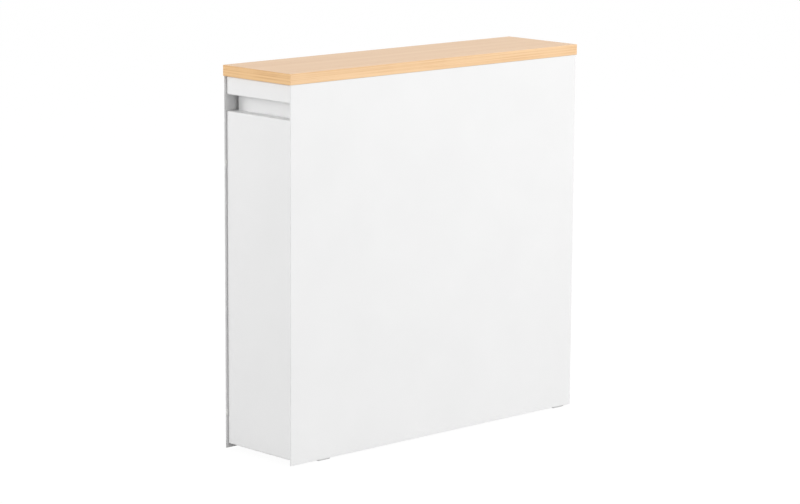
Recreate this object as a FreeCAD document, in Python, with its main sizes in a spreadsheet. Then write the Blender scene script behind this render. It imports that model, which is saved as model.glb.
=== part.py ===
import FreeCAD, Part
import os
import re
import Sketcher

# A slim white steel cabinet with an oak top and a full-height pull-out, in millimetres.
# +Z is up. The origin is on the floor, midway along the width and the depth. The front, with its
# finger slot, faces -Y and the pull-out comes out that way.

doc = FreeCAD.newDocument("slim_pull_out_cabinet")

driving_sizes = {
    # shell
    "body_width": 180,
    "body_depth": 720,
    "panel_height": 680,
    "panel_sheet": 2,
    "panel_edge_radius": 1.5,
    "panel_bend": 1.5,
    "rear_flange": 20,
    "foot_drop": 3,
    "sheet_bend": 1,
    # oak board
    "board_thickness": 20,
    "board_overhang": 1,
    "board_easing": 1,
    # base pan, top deck and back panel
    "base_height": 14,
    "base_sheet": 1.5,
    "base_wall_margin": 9.5,
    "deck_sheet": 1.5,
    "deck_wall": 35,
    "pan_front_gap": 2,
    "pan_rear_gap": 3,
    "back_sheet": 1.5,
    "back_flange": 15,
    "back_side_gap": 2,
    "back_top_gap": 2,
    "back_bottom_gap": 2,
    "stiffener_sheet": 1,
    "stiffener_width": 60,
    "stiffener_depth": 9,
    "stiffener_lip": 12,
    "stiffener_end_gap": 12,
    # feet
    "foot_length": 30,
    "foot_width": 20,
    "foot_corner": 4,
    "foot_side_gap": 0.5,
    "front_foot_inset": 83,
    "rear_foot_inset": 30,
    "foot_counterbore_depth": 7,
    "foot_counterbore_diameter": 11,
    # pull-out front
    "front_setback": 4.5,
    "front_gap": 1.5,
    "front_rise": 8,
    "front_sheet": 1.5,
    "return_clearance": 4,
    "return_relief": 20,
    "fascia_top_gap": 0.5,
    "fascia_height": 32.5,
    "fascia_hem": 6,
    "slot_height": 29.5,
    "recess_depth": 22,
    "inner_panel_gap": 6,
    "inner_panel_sheet": 1.2,
    "inner_panel_flange": 10,
    # guide pads on the side panels' front edges
    "guide_pad_height": 11,
    "guide_pad_clearance": 0.3,
    "guide_pad_edge": 0.2,
    "upper_pad_drop": 156,
    "lower_pad_rise": 66,
    # ball-bearing slides
    "slide_height": 45,
    "slide_sheet": 1.2,
    "slide_bend": 0.4,
    "slide_lip": 2,
    "slide_lift": 27,
    "slide_front_gap": 3.2,
    "slide_rear_gap": 76.8,
    "slide_stud_clearance": 0.6,
    "slide_member_clearance": 0.2,
    "slide_tray_clearance": 0.7,
    "ball_diameter": 4,
    "ball_clearance": 0.1,
    "ball_pitch": 32,
    "retainer_sheet": 0.8,
    "retainer_margin": 0.6,
    "retainer_start": 160,
    "retainer_end": 18,
    # tray, shelves and what stands on them
    "tray_sheet": 1.2,
    "tray_clearance": 5.6,
    "tray_wall": 58,
    "tray_bend": 1.5,
    "shelf_sheet": 1.2,
    "shelf_lip": 18,
    "shelf_side_gap": 2.3,
    "shelf_end_gap": 2,
    "middle_shelf_height": 240,
    "upper_shelf_height": 440,
    "mat_thickness": 2,
    "mat_gap": 1.5,
    "rail_diameter": 5,
    "rail_lift": 48,
    "rail_inset": 3,
    "pin_diameter": 5,
    "pin_reach": 9,
    "pin_collar_diameter": 8,
    "pin_collar": 1.5,
    "pin_side": 50,
    "pin_hole_pitch": 40,
    # rear panel, top beam and upper guide
    "rear_gap": 9,
    "rear_sheet": 1.2,
    "rear_panel_flange": 12,
    "beam_clearance": 5,
    "beam_sheet": 1.5,
    "beam_width": 40,
    "beam_skirt": 14,
    "beam_tab": 22,
    "guide_rail_sheet": 1.5,
    "guide_rail_height": 20,
    "guide_rail_slot": 9,
    "guide_rail_end_gap": 10,
    "roller_diameter": 16,
    "roller_width": 8,
    "roller_clearance": 0.3,
    "roller_lift": 1,
    "roller_setback": 45,
    "guide_pin_diameter": 5,
    "guide_pin_collar": 7,
    "guide_pin_head": 8,
    "guide_pin_head_thickness": 2,
    # catch and buffers
    "catch_width": 46,
    "catch_height": 15,
    "catch_drop": 65,
    "strike_width": 40,
    "strike_sheet": 1.5,
    "catch_gap": 0.5,
    "rivet_diameter": 3,
    "rivet_head": 5.5,
    "rivet_head_thickness": 0.8,
    "rivet_spacing": 30,
    "strike_rivet_spacing": 24,
    "buffer_diameter": 12,
    "buffer_side": 55,
    "buffer_height": 130,
    "buffer_stem": 5,
    "buffer_gap": 0.3,
    # fasteners
    "bolt_diameter": 4,
    "bolt_hole_clearance": 0.2,
    "thread_clearance": 0.05,
    "pan_head_diameter": 8,
    "pan_head_height": 2.2,
    "csk_head_diameter": 8,
    "nut_flats": 7,
    "nut_thickness": 2.2,
    "stud_spare": 0.4,
    "stud_end_inset": 60,
    "deck_stud_drop": 18,
    "back_screw_length": 8,
    "back_screw_inset": 9,
    "back_screw_end_inset": 45,
    "clinch_nut_diameter": 8,
    "clinch_nut_height": 3,
    "board_screw_cover": 6.5,
    "board_screw_side": 60,
    "board_screw_end_inset": 70,
    "tray_screw_length": 6,
    "tray_screw_side": 45,
    "tray_screw_drop": 18,
    "beam_screw_side": 12,
    "foot_bolt_diameter": 5,
    "foot_bolt_head_diameter": 9,
    "foot_bolt_head_height": 3,
    "foot_nut_flats": 8,
    "foot_nut_thickness": 3.5,
    "wall_hole_diameter": 6,
    "wall_hole_spacing": 100,
    "wall_hole_drop": 37.5,
}

sizes = doc.addObject("Spreadsheet::Sheet", "Sizes")
for row, (alias, number) in enumerate(driving_sizes.items(), start=1):
    sizes.set(f"A{row}", alias)
    sizes.set(f"B{row}", str(number))
    sizes.setAlias(f"B{row}", alias)
doc.recompute()

# Places worked out from the driving sizes, as expressions over the sheet's aliases.
inner_x = "(body_width / 2 - panel_sheet)"
front_y = "(-body_depth / 2)"
back_y = "(body_depth / 2)"
panel_top = "(foot_drop + panel_height)"
face_y = f"({front_y} + front_setback)"
front_half = f"({inner_x} - front_gap)"
front_bottom = "(foot_drop + front_rise)"
fascia_top = f"({panel_top} - fascia_top_gap)"
fascia_bottom = f"({fascia_top} - fascia_height)"
slot_bottom = f"({fascia_bottom} - slot_height)"
recess_y = f"({face_y} + recess_depth)"
inner_panel_half = f"({inner_x} - inner_panel_gap)"
inner_panel_rear = f"({recess_y} + inner_panel_sheet)"
base_top = "(base_height + base_sheet)"
pan_front = f"({recess_y} + inner_panel_flange + pan_front_gap)"
back_outer = f"({back_y} - panel_sheet)"
back_inner = f"({back_outer} - back_sheet)"
back_half = f"({inner_x} - back_side_gap)"
back_top = f"({panel_top} - back_top_gap)"
back_bottom = f"({base_top} + back_bottom_gap)"
pan_rear = f"({back_inner} - pan_rear_gap)"
deck_under = f"({panel_top} - deck_sheet)"
tray_bottom = f"({base_top} + foot_nut_thickness + stud_spare + tray_clearance)"
slide_back = f"({inner_x} - base_sheet)"
slide_front = f"({recess_y} + inner_panel_flange + slide_front_gap)"
slide_rear = f"({back_inner} - slide_rear_gap)"
slide_centre = f"({tray_bottom} + slide_lift)"
base_wall_top = f"({slide_centre} + slide_height / 2 + base_wall_margin)"
retainer_width = "(ball_diameter + 2 * ball_clearance + 2 * retainer_margin)"
middle_offset = "(slide_sheet + nut_thickness + stud_spare + slide_stud_clearance)"
ball_offsets = {
    "outer": f"({middle_offset} + slide_member_clearance + ball_diameter / 2)",
    "inner": f"({middle_offset} + slide_sheet + slide_member_clearance + {retainer_width} / 2)",
}
past_ball = "(ball_diameter / 2 + slide_member_clearance + slide_sheet)"
outer_reach = f"({ball_offsets['outer']} + {past_ball})"
middle_reach = f"({ball_offsets['inner']} + {past_ball} - {middle_offset})"
slide_width = f"({middle_offset} + {middle_reach} + slide_tray_clearance)"
inner_reach = f"({slide_width} - {middle_offset} - slide_sheet - 2 * slide_member_clearance)"
middle_half = "(slide_height / 2 - slide_sheet - ball_diameter - 2 * ball_clearance)"
inner_half = f"({middle_half} - slide_sheet - ball_diameter - 2 * ball_clearance)"
ball_drops = {
    "outer": "(slide_height / 2 - slide_sheet - ball_clearance - ball_diameter / 2)",
    "inner": f"({middle_half} - slide_sheet - ball_clearance - ball_diameter / 2)",
}
tray_half = f"({slide_back} - {slide_width})"
tray_front = inner_panel_rear
tray_rear = f"({back_inner} - rear_gap - rear_sheet)"
tray_floor = f"({tray_bottom} + tray_sheet)"
tray_top = f"({tray_bottom} + tray_wall)"
rear_panel_back = f"({tray_rear} + rear_sheet)"
shelf_half = f"({tray_half} - shelf_side_gap)"
shelf_front = f"({tray_front} + shelf_end_gap)"
shelf_rear = f"({tray_rear} - shelf_end_gap)"
roller_y = f"({tray_rear} - roller_setback)"
guide_rail_bottom = f"({deck_under} - guide_rail_height)"
beam_top = f"({guide_rail_bottom} - beam_clearance)"
beam_under = f"({beam_top} - beam_sheet)"
catch_centre = f"({beam_under} - catch_drop)"
guide_rail_half = "(roller_diameter / 2 + roller_clearance + guide_rail_sheet)"
roller_bottom = f"({guide_rail_bottom} + guide_rail_sheet + roller_lift)"
stud_length = "(base_sheet + slide_sheet + nut_thickness + stud_spare)"
bolt_hole = "(bolt_diameter + 2 * bolt_hole_clearance)"
thread_hole = "(bolt_diameter + 2 * thread_clearance)"
foot_x = f"({inner_x} - foot_side_gap - foot_width / 2)"
front_foot_y = f"({front_y} + front_foot_inset)"
rear_foot_y = f"({back_y} - rear_foot_inset)"
back_screw_x = f"({back_half} - back_screw_inset)"
tray_screw_z = f"({tray_top} - tray_screw_drop)"
stud_places = [
    f"({slide_front} + stud_end_inset)",
    f"(({slide_front} + {slide_rear}) / 2)",
    f"({slide_rear} - stud_end_inset)",
]
deck_stud_z = f"({panel_top} - deck_stud_drop)"
back_screw_count = 4
back_screw_heights = [
    f"({back_bottom} + back_screw_end_inset + {i} * ({back_top} - {back_bottom} - 2 * back_screw_end_inset)"
    f" / {back_screw_count - 1})"
    for i in range(back_screw_count)
]
board_screw_places = [
    f"({pan_front} + board_screw_end_inset)",
    f"(({pan_front} + {pan_rear}) / 2)",
    f"({pan_rear} - board_screw_end_inset)",
]
shelf_heights = {"middle": "middle_shelf_height", "upper": "upper_shelf_height"}
SIDES = (-1, 1)


def linked(expression):
    """The expression with every alias pointing at the sheet."""
    return re.sub(r"\b([a-z_]+)\b(?!\()", r"Sizes.\1", expression)


def value(expression):
    """The number that an expression gives now."""
    return float(sizes.evalExpression(linked(expression)))


def bind(item, **properties):
    """Ties properties to expressions; a double underscore stands for a dot."""
    for name, expression in properties.items():
        item.setExpression(name.replace("__", "."), linked(expression))


def place(item, x, y, z):
    bind(item, Placement__Base__x=x, Placement__Base__y=y, Placement__Base__z=z)


# Sketches, pads and pockets of PartDesign bodies.


def new_body(label):
    body = doc.addObject("PartDesign::Body", label)
    body.Label = label
    return body


def new_sketch(body, plane, offset):
    """A sketch on one of the body's own origin planes, moved along that plane's normal."""
    sketch = body.newObject("Sketcher::SketchObject", "Sketch")
    roles = {feature.Role: feature for feature in body.Origin.OriginFeatures}
    sketch.AttachmentSupport = [(roles[f"{plane}_Plane"], "")]
    sketch.MapMode = "FlatFace"
    bind(sketch, AttachmentOffset__Base__z=offset)
    return sketch


def fix_point(sketch, line, end, across, up):
    """Ties one end of a line to its two coordinates."""
    for kind, expression in (("DistanceX", across), ("DistanceY", up)):
        index = sketch.addConstraint(Sketcher.Constraint(kind, -1, 1, line, end, value(expression)))
        bind(sketch, **{f"Constraints[{index}]": expression})


def draw_outline(sketch, corners):
    """Draws a closed outline through corners (across, up) or, where rounded, (across, up, radius)."""
    count = len(corners)
    points = [FreeCAD.Vector(value(c[0]), value(c[1]), 0) for c in corners]
    starts = []
    ends = []
    for i, corner in enumerate(corners):
        if len(corner) == 2:
            starts.append((corner[0], corner[1]))
            ends.append((corner[0], corner[1]))
            continue
        across, up, radius = corner
        before = (points[i] - points[i - 1]).normalize()
        after = (points[(i + 1) % count] - points[i]).normalize()
        ends.append((f"{across} - {round(before.x)} * {radius}", f"{up} - {round(before.y)} * {radius}"))
        starts.append((f"{across} + {round(after.x)} * {radius}", f"{up} + {round(after.y)} * {radius}"))
    lines = []
    for i in range(count):
        far = (i + 1) % count
        first = FreeCAD.Vector(value(starts[i][0]), value(starts[i][1]), 0)
        last = FreeCAD.Vector(value(ends[far][0]), value(ends[far][1]), 0)
        lines.append(sketch.addGeometry(Part.LineSegment(first, last), False))
    for i, corner in enumerate(corners):
        fix_point(sketch, lines[i], 1, *starts[i])
        if len(corner) == 2:
            sketch.addConstraint(Sketcher.Constraint("Coincident", lines[i - 1], 2, lines[i], 1))
            continue
        fix_point(sketch, lines[i - 1], 2, *ends[i])
        first = FreeCAD.Vector(value(ends[i][0]), value(ends[i][1]), 0)
        last = FreeCAD.Vector(value(starts[i][0]), value(starts[i][1]), 0)
        centre = first + last - points[i]
        middle = centre + (points[i] - centre).normalize() * (first - centre).Length
        turns_left = (first - centre).cross(last - centre).z > 0
        arc = sketch.addGeometry(Part.Arc(first, middle, last), False)
        near, away = (1, 2) if turns_left else (2, 1)
        sketch.addConstraint(Sketcher.Constraint("Coincident", arc, near, lines[i - 1], 2))
        sketch.addConstraint(Sketcher.Constraint("Coincident", arc, away, lines[i], 1))
        index = sketch.addConstraint(Sketcher.Constraint("Radius", arc, value(corner[2])))
        bind(sketch, **{f"Constraints[{index}]": corner[2]})


def draw_circle(sketch, across, up, diameter):
    centre = FreeCAD.Vector(value(across), value(up), 0)
    circle = Part.Circle(centre, FreeCAD.Vector(0, 0, 1), value(diameter) / 2)
    index = sketch.addGeometry(circle, False)
    fix_point(sketch, index, 3, across, up)
    size = sketch.addConstraint(Sketcher.Constraint("Diameter", index, value(diameter)))
    bind(sketch, **{f"Constraints[{size}]": diameter})


def rectangle(left, right, bottom, top):
    return [(left, bottom), (right, bottom), (right, top), (left, top)]


def pad(body, plane, outlines, start, end):
    """Pads closed outlines from start to end along the axis that crosses the plane."""
    sketch = new_sketch(body, plane, f"-({end})" if plane == "XZ" else start)
    for corners in outlines:
        draw_outline(sketch, corners)
    feature = body.newObject("PartDesign::Pad", "Pad")
    feature.Profile = sketch
    bind(feature, Length=f"({end}) - ({start})")
    sketch.Visibility = False
    return feature


def pocket(body, plane, start, end, outlines=(), holes=()):
    """Cuts outlines and round holes (across, up, diameter) out of the body between start and end."""
    sketch = new_sketch(body, plane, f"-({start})" if plane == "XZ" else end)
    for corners in outlines:
        draw_outline(sketch, corners)
    for hole in holes:
        draw_circle(sketch, *hole)
    feature = body.newObject("PartDesign::Pocket", "Pocket")
    feature.Profile = sketch
    bind(feature, Length=f"({end}) - ({start})")
    sketch.Visibility = False


def fold_outline(line, sheet, bend, side):
    """Outline of a sheet with square folds, one face on the line; side 1 puts the sheet on its left."""
    points = [FreeCAD.Vector(value(a), value(b), 0) for a, b in line]
    ways = [(points[i + 1] - points[i]).normalize() for i in range(len(points) - 1)]
    normals = [(-round(way.y) * side, round(way.x) * side) for way in ways]
    face = []
    other = []
    for i, (across, up) in enumerate(line):
        beside = normals[max(i - 1, 0) : i + 1]
        shift = [sum(n[k] for n in beside) for k in (0, 1)]
        shifted = (f"{across} + {shift[0]} * {sheet}", f"{up} + {shift[1]} * {sheet}")
        if i in (0, len(line) - 1):
            face.append((across, up))
            other.append(shifted)
            continue
        sheet_inside = ways[i - 1].cross(ways[i]).z * side > 0
        small, large = bend, f"({bend} + {sheet})"
        face.append((across, up, large if sheet_inside else small))
        other.append((*shifted, small if sheet_inside else large))
    return face + other[::-1]


def folded_sheet(label, plane, line, sheet, start, end, side=1, bend="sheet_bend"):
    body = new_body(label)
    pad(body, plane, [fold_outline(line, sheet, bend, side)], start, end)
    return body


def mirrored(label, source):
    """The left-hand twin of a right-hand piece."""
    twin = doc.addObject("Part::Mirroring", label)
    twin.Label = label
    twin.Source = source
    twin.Normal = FreeCAD.Vector(1, 0, 0)
    return twin


# Turned pieces and fasteners. Each lies along an axis, given as a signed letter.

TURNS = {
    "+Z": FreeCAD.Rotation(),
    "-Z": FreeCAD.Rotation(FreeCAD.Vector(1, 0, 0), 180),
    "+X": FreeCAD.Rotation(FreeCAD.Vector(0, 1, 0), 90),
    "-X": FreeCAD.Rotation(FreeCAD.Vector(0, 1, 0), -90),
    "+Y": FreeCAD.Rotation(FreeCAD.Vector(1, 0, 0), -90),
    "-Y": FreeCAD.Rotation(FreeCAD.Vector(1, 0, 0), 90),
}


def along(spot, axis, distance):
    """The spot moved by a distance along an axis."""
    moved = list(spot)
    k = "XYZ".index(axis[1])
    moved[k] = f"({spot[k]} {axis[0]} ({distance}))"
    return moved


def turned(kind, spot, axis, **properties):
    item = doc.addObject(f"Part::{kind}", kind)
    bind(item, **properties)
    item.Placement.Rotation = TURNS[axis]
    place(item, *spot)
    return item


def cylinder(spot, axis, diameter, height):
    return turned("Cylinder", spot, axis, Radius=f"({diameter}) / 2", Height=height)


def joined(pieces):
    item = doc.addObject("Part::MultiFuse", "Joined")
    item.Shapes = pieces
    return item


def cut_from(base, tool):
    item = doc.addObject("Part::Cut", "Cut")
    item.Base = base
    item.Tool = tool
    return item


def group(label, members):
    """Identical small pieces in one sub-part, each its own solid."""
    item = doc.addObject("Part::Compound", label)
    item.Label = label
    item.Links = members
    return item


def pan_screw(
    spot, axis, length, diameter="bolt_diameter", head="pan_head_diameter", height="pan_head_height"
):
    """A screw whose head seats at the spot, with its shank pointing along the axis."""
    top = along(spot, axis, f"-({height})")
    shank = cylinder(top, axis, diameter, f"{height} + {length}")
    return joined([cylinder(top, axis, head, height), shank])


def hex_nut(spot, axis, flats="nut_flats", thickness="nut_thickness", bore="bolt_diameter"):
    """A nut with one face at the spot, as thick as given along the axis."""
    blank = turned("Prism", spot, axis, Circumradius=f"{flats} / sqrt(3)", Height=thickness)
    return cut_from(blank, cylinder(spot, axis, f"{bore} + 2 * thread_clearance", thickness))


def rivet(spot, axis, grip):
    """A rivet whose flat head seats at the spot, with a shank as long as its grip."""
    head = cylinder(along(spot, axis, "-rivet_head_thickness"), axis, "rivet_head", "rivet_head_thickness")
    shank = cylinder(spot, axis, "rivet_diameter", grip)
    return joined([head, shank])


nodes = []

# Side panels: one folded sheet each, with a rounded front edge and a flange turned in along the back
# edge for the back panel.
panel_line = [
    ("body_width / 2", front_y),
    ("body_width / 2", back_y),
    ("body_width / 2 - rear_flange", back_y),
]
panel_outline = fold_outline(panel_line, "panel_sheet", "panel_bend", 1)
panel_outline[0] = (*panel_outline[0], "panel_edge_radius")
panel_sheet_body = new_body("panel_sheet_metal")
pad(panel_sheet_body, "XY", [panel_outline], "foot_drop", panel_top)
countersinks = group(
    "countersinks",
    [
        turned(
            "Cone",
            (back_screw_x, back_outer, z),
            "+Y",
            Radius1="bolt_diameter / 2 + bolt_hole_clearance",
            Radius2="csk_head_diameter / 2 + bolt_hole_clearance",
            Height="panel_sheet",
        )
        for z in back_screw_heights
    ],
)
right_side_panel = cut_from(panel_sheet_body, countersinks)
right_side_panel.Label = "right_side_panel"
nodes += [right_side_panel, mirrored("left_side_panel", right_side_panel)]

# Stiffeners: a hat section bonded upright to the inside of each side panel.
hat_half = "stiffener_width / 2"
hat_top = f"({inner_x} - stiffener_depth + stiffener_sheet)"
stiffener_line = [
    (inner_x, f"-{hat_half} - stiffener_lip"),
    (inner_x, f"-{hat_half}"),
    (hat_top, f"-{hat_half}"),
    (hat_top, hat_half),
    (inner_x, hat_half),
    (inner_x, f"{hat_half} + stiffener_lip"),
]
right_stiffener = folded_sheet(
    "right_panel_stiffener",
    "XY",
    stiffener_line,
    "stiffener_sheet",
    f"{base_wall_top} + stiffener_end_gap",
    f"{panel_top} - deck_wall - stiffener_end_gap",
)
nodes += [right_stiffener, mirrored("left_panel_stiffener", right_stiffener)]

# Weld studs on the inside of the side panels carry the base pan with the slides, and the deck.
stud_spots = [(inner_x, y, slide_centre) for y in stud_places]
stud_spots += [(inner_x, y, deck_stud_z) for y in board_screw_places]
right_studs = group(
    "right_panel_studs", [cylinder(spot, "-X", "bolt_diameter", stud_length) for spot in stud_spots]
)
nodes += [right_studs, mirrored("left_panel_studs", right_studs)]

# Base pan: a channel between the side panels that carries the feet and the slides.
base_pan = folded_sheet(
    "base_pan",
    "XZ",
    [
        (f"-{inner_x}", base_wall_top),
        (f"-{inner_x}", "base_height"),
        (inner_x, "base_height"),
        (inner_x, base_wall_top),
    ],
    "base_sheet",
    pan_front,
    pan_rear,
)
foot_places = {
    "front_left": (f"-{foot_x}", front_foot_y),
    "front_right": (foot_x, front_foot_y),
    "rear_left": (f"-{foot_x}", rear_foot_y),
    "rear_right": (foot_x, rear_foot_y),
}
foot_bolt_hole = "foot_bolt_diameter + 2 * bolt_hole_clearance"
pocket(base_pan, "XY", "0", base_top, holes=[(x, y, foot_bolt_hole) for x, y in foot_places.values()])
pocket(
    base_pan,
    "YZ",
    f"-{inner_x}",
    inner_x,
    holes=[(y, slide_centre, bolt_hole) for y in stud_places],
)
nodes.append(base_pan)

# Feet: moulded blocks under the base pan, bolted through from below.
for place_name, (x, y) in foot_places.items():
    foot = new_body(f"foot_{place_name}")
    left, right = f"{x} - foot_width / 2", f"{x} + foot_width / 2"
    near, far = f"{y} - foot_length / 2", f"{y} + foot_length / 2"
    corners = [(*corner, "foot_corner") for corner in rectangle(left, right, near, far)]
    pad(foot, "XY", [corners], "0", "base_height")
    pocket(foot, "XY", "0", "base_height", holes=[(x, y, foot_bolt_hole)])
    pocket(foot, "XY", "0", "foot_counterbore_depth", holes=[(x, y, "foot_counterbore_diameter")])
    nodes.append(foot)
foot_bolt_length = "base_height - foot_counterbore_depth + base_sheet + foot_nut_thickness + stud_spare"
nodes.append(
    group(
        "foot_bolts",
        [
            pan_screw(
                (x, y, "foot_counterbore_depth"),
                "+Z",
                foot_bolt_length,
                "foot_bolt_diameter",
                "foot_bolt_head_diameter",
                "foot_bolt_head_height",
            )
            for x, y in foot_places.values()
        ],
    )
)
nodes.append(
    group(
        "foot_nuts",
        [
            hex_nut((x, y, base_top), "+Z", "foot_nut_flats", "foot_nut_thickness", "foot_bolt_diameter")
            for x, y in foot_places.values()
        ],
    )
)

# Top deck: a channel turned down between the side panels, under the board.
top_deck = folded_sheet(
    "top_deck",
    "XZ",
    [
        (inner_x, f"{panel_top} - deck_wall"),
        (inner_x, panel_top),
        (f"-{inner_x}", panel_top),
        (f"-{inner_x}", f"{panel_top} - deck_wall"),
    ],
    "deck_sheet",
    pan_front,
    pan_rear,
)
board_screw_spots = [(f"{side} * board_screw_side", y) for side in SIDES for y in board_screw_places]
pocket(top_deck, "XY", deck_under, panel_top, holes=[(x, y, bolt_hole) for x, y in board_screw_spots])
pocket(
    top_deck,
    "YZ",
    f"-{inner_x}",
    inner_x,
    holes=[(y, deck_stud_z, bolt_hole) for y in board_screw_places],
)
nodes.append(top_deck)

# Wooden top: a solid board with eased edges, screwed on from below.
board_screw_length = "(deck_sheet + board_thickness - board_screw_cover)"
board_half = "(body_width / 2 + board_overhang)"
board_reach = "(body_depth / 2 + board_overhang)"
wooden_top = new_body("wooden_top")
board_block = pad(
    wooden_top,
    "XY",
    [rectangle(f"-{board_half}", board_half, f"-{board_reach}", board_reach)],
    panel_top,
    f"{panel_top} + board_thickness",
)
doc.recompute()
easing = wooden_top.newObject("PartDesign::Fillet", "Easing")
easing.Base = (board_block, [f"Edge{i + 1}" for i in range(len(board_block.Shape.Edges))])
bind(easing, Radius="board_easing")
pocket(
    wooden_top,
    "XY",
    panel_top,
    f"{panel_top} + board_thickness - board_screw_cover + stud_spare",
    holes=[(x, y, thread_hole) for x, y in board_screw_spots],
)
nodes.append(wooden_top)
nodes.append(
    group(
        "board_screws",
        [pan_screw((x, y, deck_under), "+Z", board_screw_length) for x, y in board_screw_spots],
    )
)

# Nuts on the weld studs, inside the slides and inside the deck's walls.
stud_nuts = [
    hex_nut((f"{side} * ({slide_back} - slide_sheet)", y, slide_centre), "-X" if side > 0 else "+X")
    for side in SIDES
    for y in stud_places
]
stud_nuts += [
    hex_nut((f"{side} * ({inner_x} - deck_sheet)", y, deck_stud_z), "-X" if side > 0 else "+X")
    for side in SIDES
    for y in board_screw_places
]
nodes.append(group("stud_nuts", stud_nuts))

# Back panel: a shallow tray inside the side panels' flanges, with clinch nuts for its screws.
back_panel = folded_sheet(
    "back_panel",
    "XY",
    [
        (f"-{back_half}", f"{back_outer} - back_flange"),
        (f"-{back_half}", back_outer),
        (back_half, back_outer),
        (back_half, f"{back_outer} - back_flange"),
    ],
    "back_sheet",
    back_bottom,
    back_top,
    side=-1,
)
back_screw_spots = [(f"{side} * {back_screw_x}", z) for side in SIDES for z in back_screw_heights]
back_holes = [(x, z, bolt_hole) for x, z in back_screw_spots]
buffer_spots = [(f"{side} * buffer_side", "buffer_height") for side in SIDES]
back_holes += [(x, z, "buffer_stem + 2 * thread_clearance") for x, z in buffer_spots]
catch_rivet_spots = [(f"{side} * rivet_spacing / 2", catch_centre) for side in SIDES]
rivet_hole = "rivet_diameter + 2 * thread_clearance"
back_holes += [(x, z, rivet_hole) for x, z in catch_rivet_spots]
wall_hole_z = f"({back_top} - wall_hole_drop)"
back_holes += [(f"{side} * wall_hole_spacing / 2", wall_hole_z, "wall_hole_diameter") for side in SIDES]
pocket(back_panel, "XZ", back_inner, back_outer, holes=back_holes)
nodes.append(back_panel)
nodes.append(
    group(
        "back_panel_screws",
        [
            joined(
                [
                    turned(
                        "Cone",
                        (x, back_y, z),
                        "-Y",
                        Radius1="csk_head_diameter / 2",
                        Radius2="bolt_diameter / 2",
                        Height="panel_sheet",
                    ),
                    cylinder((x, back_y, z), "-Y", "bolt_diameter", "back_screw_length"),
                ]
            )
            for x, z in back_screw_spots
        ],
    )
)
nodes.append(
    group(
        "clinch_nuts",
        [
            cut_from(
                cylinder((x, back_inner, z), "-Y", "clinch_nut_diameter", "clinch_nut_height"),
                cylinder((x, back_y, z), "-Y", thread_hole, "2 * back_screw_length"),
            )
            for x, z in back_screw_spots
        ],
    )
)

# Guide pads: small nylon pads bonded to the side panels' inner faces at the front edge.
guide_pad_thickness = "(front_gap - guide_pad_clearance)"
guide_pads = []
for side in SIDES:
    for height in (f"{panel_top} - upper_pad_drop", "foot_drop + lower_pad_rise"):
        guide_pad = doc.addObject("Part::Box", "GuidePad")
        bind(
            guide_pad,
            Length=guide_pad_thickness,
            Width="front_setback - 2 * guide_pad_edge",
            Height="guide_pad_height",
        )
        inner_face = f"{inner_x} - {guide_pad_thickness}" if side > 0 else f"-{inner_x}"
        place(guide_pad, inner_face, f"{front_y} + guide_pad_edge", f"{height} - guide_pad_height / 2")
        guide_pads.append(guide_pad)
nodes.append(group("front_guide_pads", guide_pads))

# Slides: three nested channels a side. The outer one is clamped to the base pan, the inner one to the tray.


def slide_channel(label, back, half_height, reach):
    """A channel with its web at the back and its lips turned in at the open side."""
    line = [
        (f"{back} - {reach}", f"{slide_centre} - {half_height} + slide_lip"),
        (f"{back} - {reach}", f"{slide_centre} - {half_height}"),
        (back, f"{slide_centre} - {half_height}"),
        (back, f"{slide_centre} + {half_height}"),
        (f"{back} - {reach}", f"{slide_centre} + {half_height}"),
        (f"{back} - {reach}", f"{slide_centre} + {half_height} - slide_lip"),
    ]
    return folded_sheet(label, "XZ", line, "slide_sheet", slide_front, slide_rear, bend="slide_bend")


slide_outer = slide_channel("right_slide_outer", slide_back, "slide_height / 2", outer_reach)
pocket(
    slide_outer,
    "YZ",
    f"{slide_back} - slide_sheet",
    slide_back,
    holes=[(y, slide_centre, bolt_hole) for y in stud_places],
)
middle_back = f"({slide_back} - {middle_offset})"
slide_middle = slide_channel("right_slide_middle", middle_back, middle_half, middle_reach)
inner_open = f"({tray_half} + {inner_reach})"
slide_inner = folded_sheet(
    "right_slide_inner",
    "XZ",
    [
        (inner_open, f"{slide_centre} - {inner_half}"),
        (tray_half, f"{slide_centre} - {inner_half}"),
        (tray_half, f"{slide_centre} + {inner_half}"),
        (inner_open, f"{slide_centre} + {inner_half}"),
    ],
    "slide_sheet",
    slide_front,
    slide_rear,
    side=-1,
    bend="slide_bend",
)
pocket(
    slide_inner,
    "YZ",
    tray_half,
    f"{tray_half} + slide_sheet",
    holes=[(y, slide_centre, thread_hole) for y in stud_places],
)
for member in (slide_outer, slide_middle, slide_inner):
    nodes += [member, mirrored(member.Label.replace("right", "left"), member)]

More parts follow.
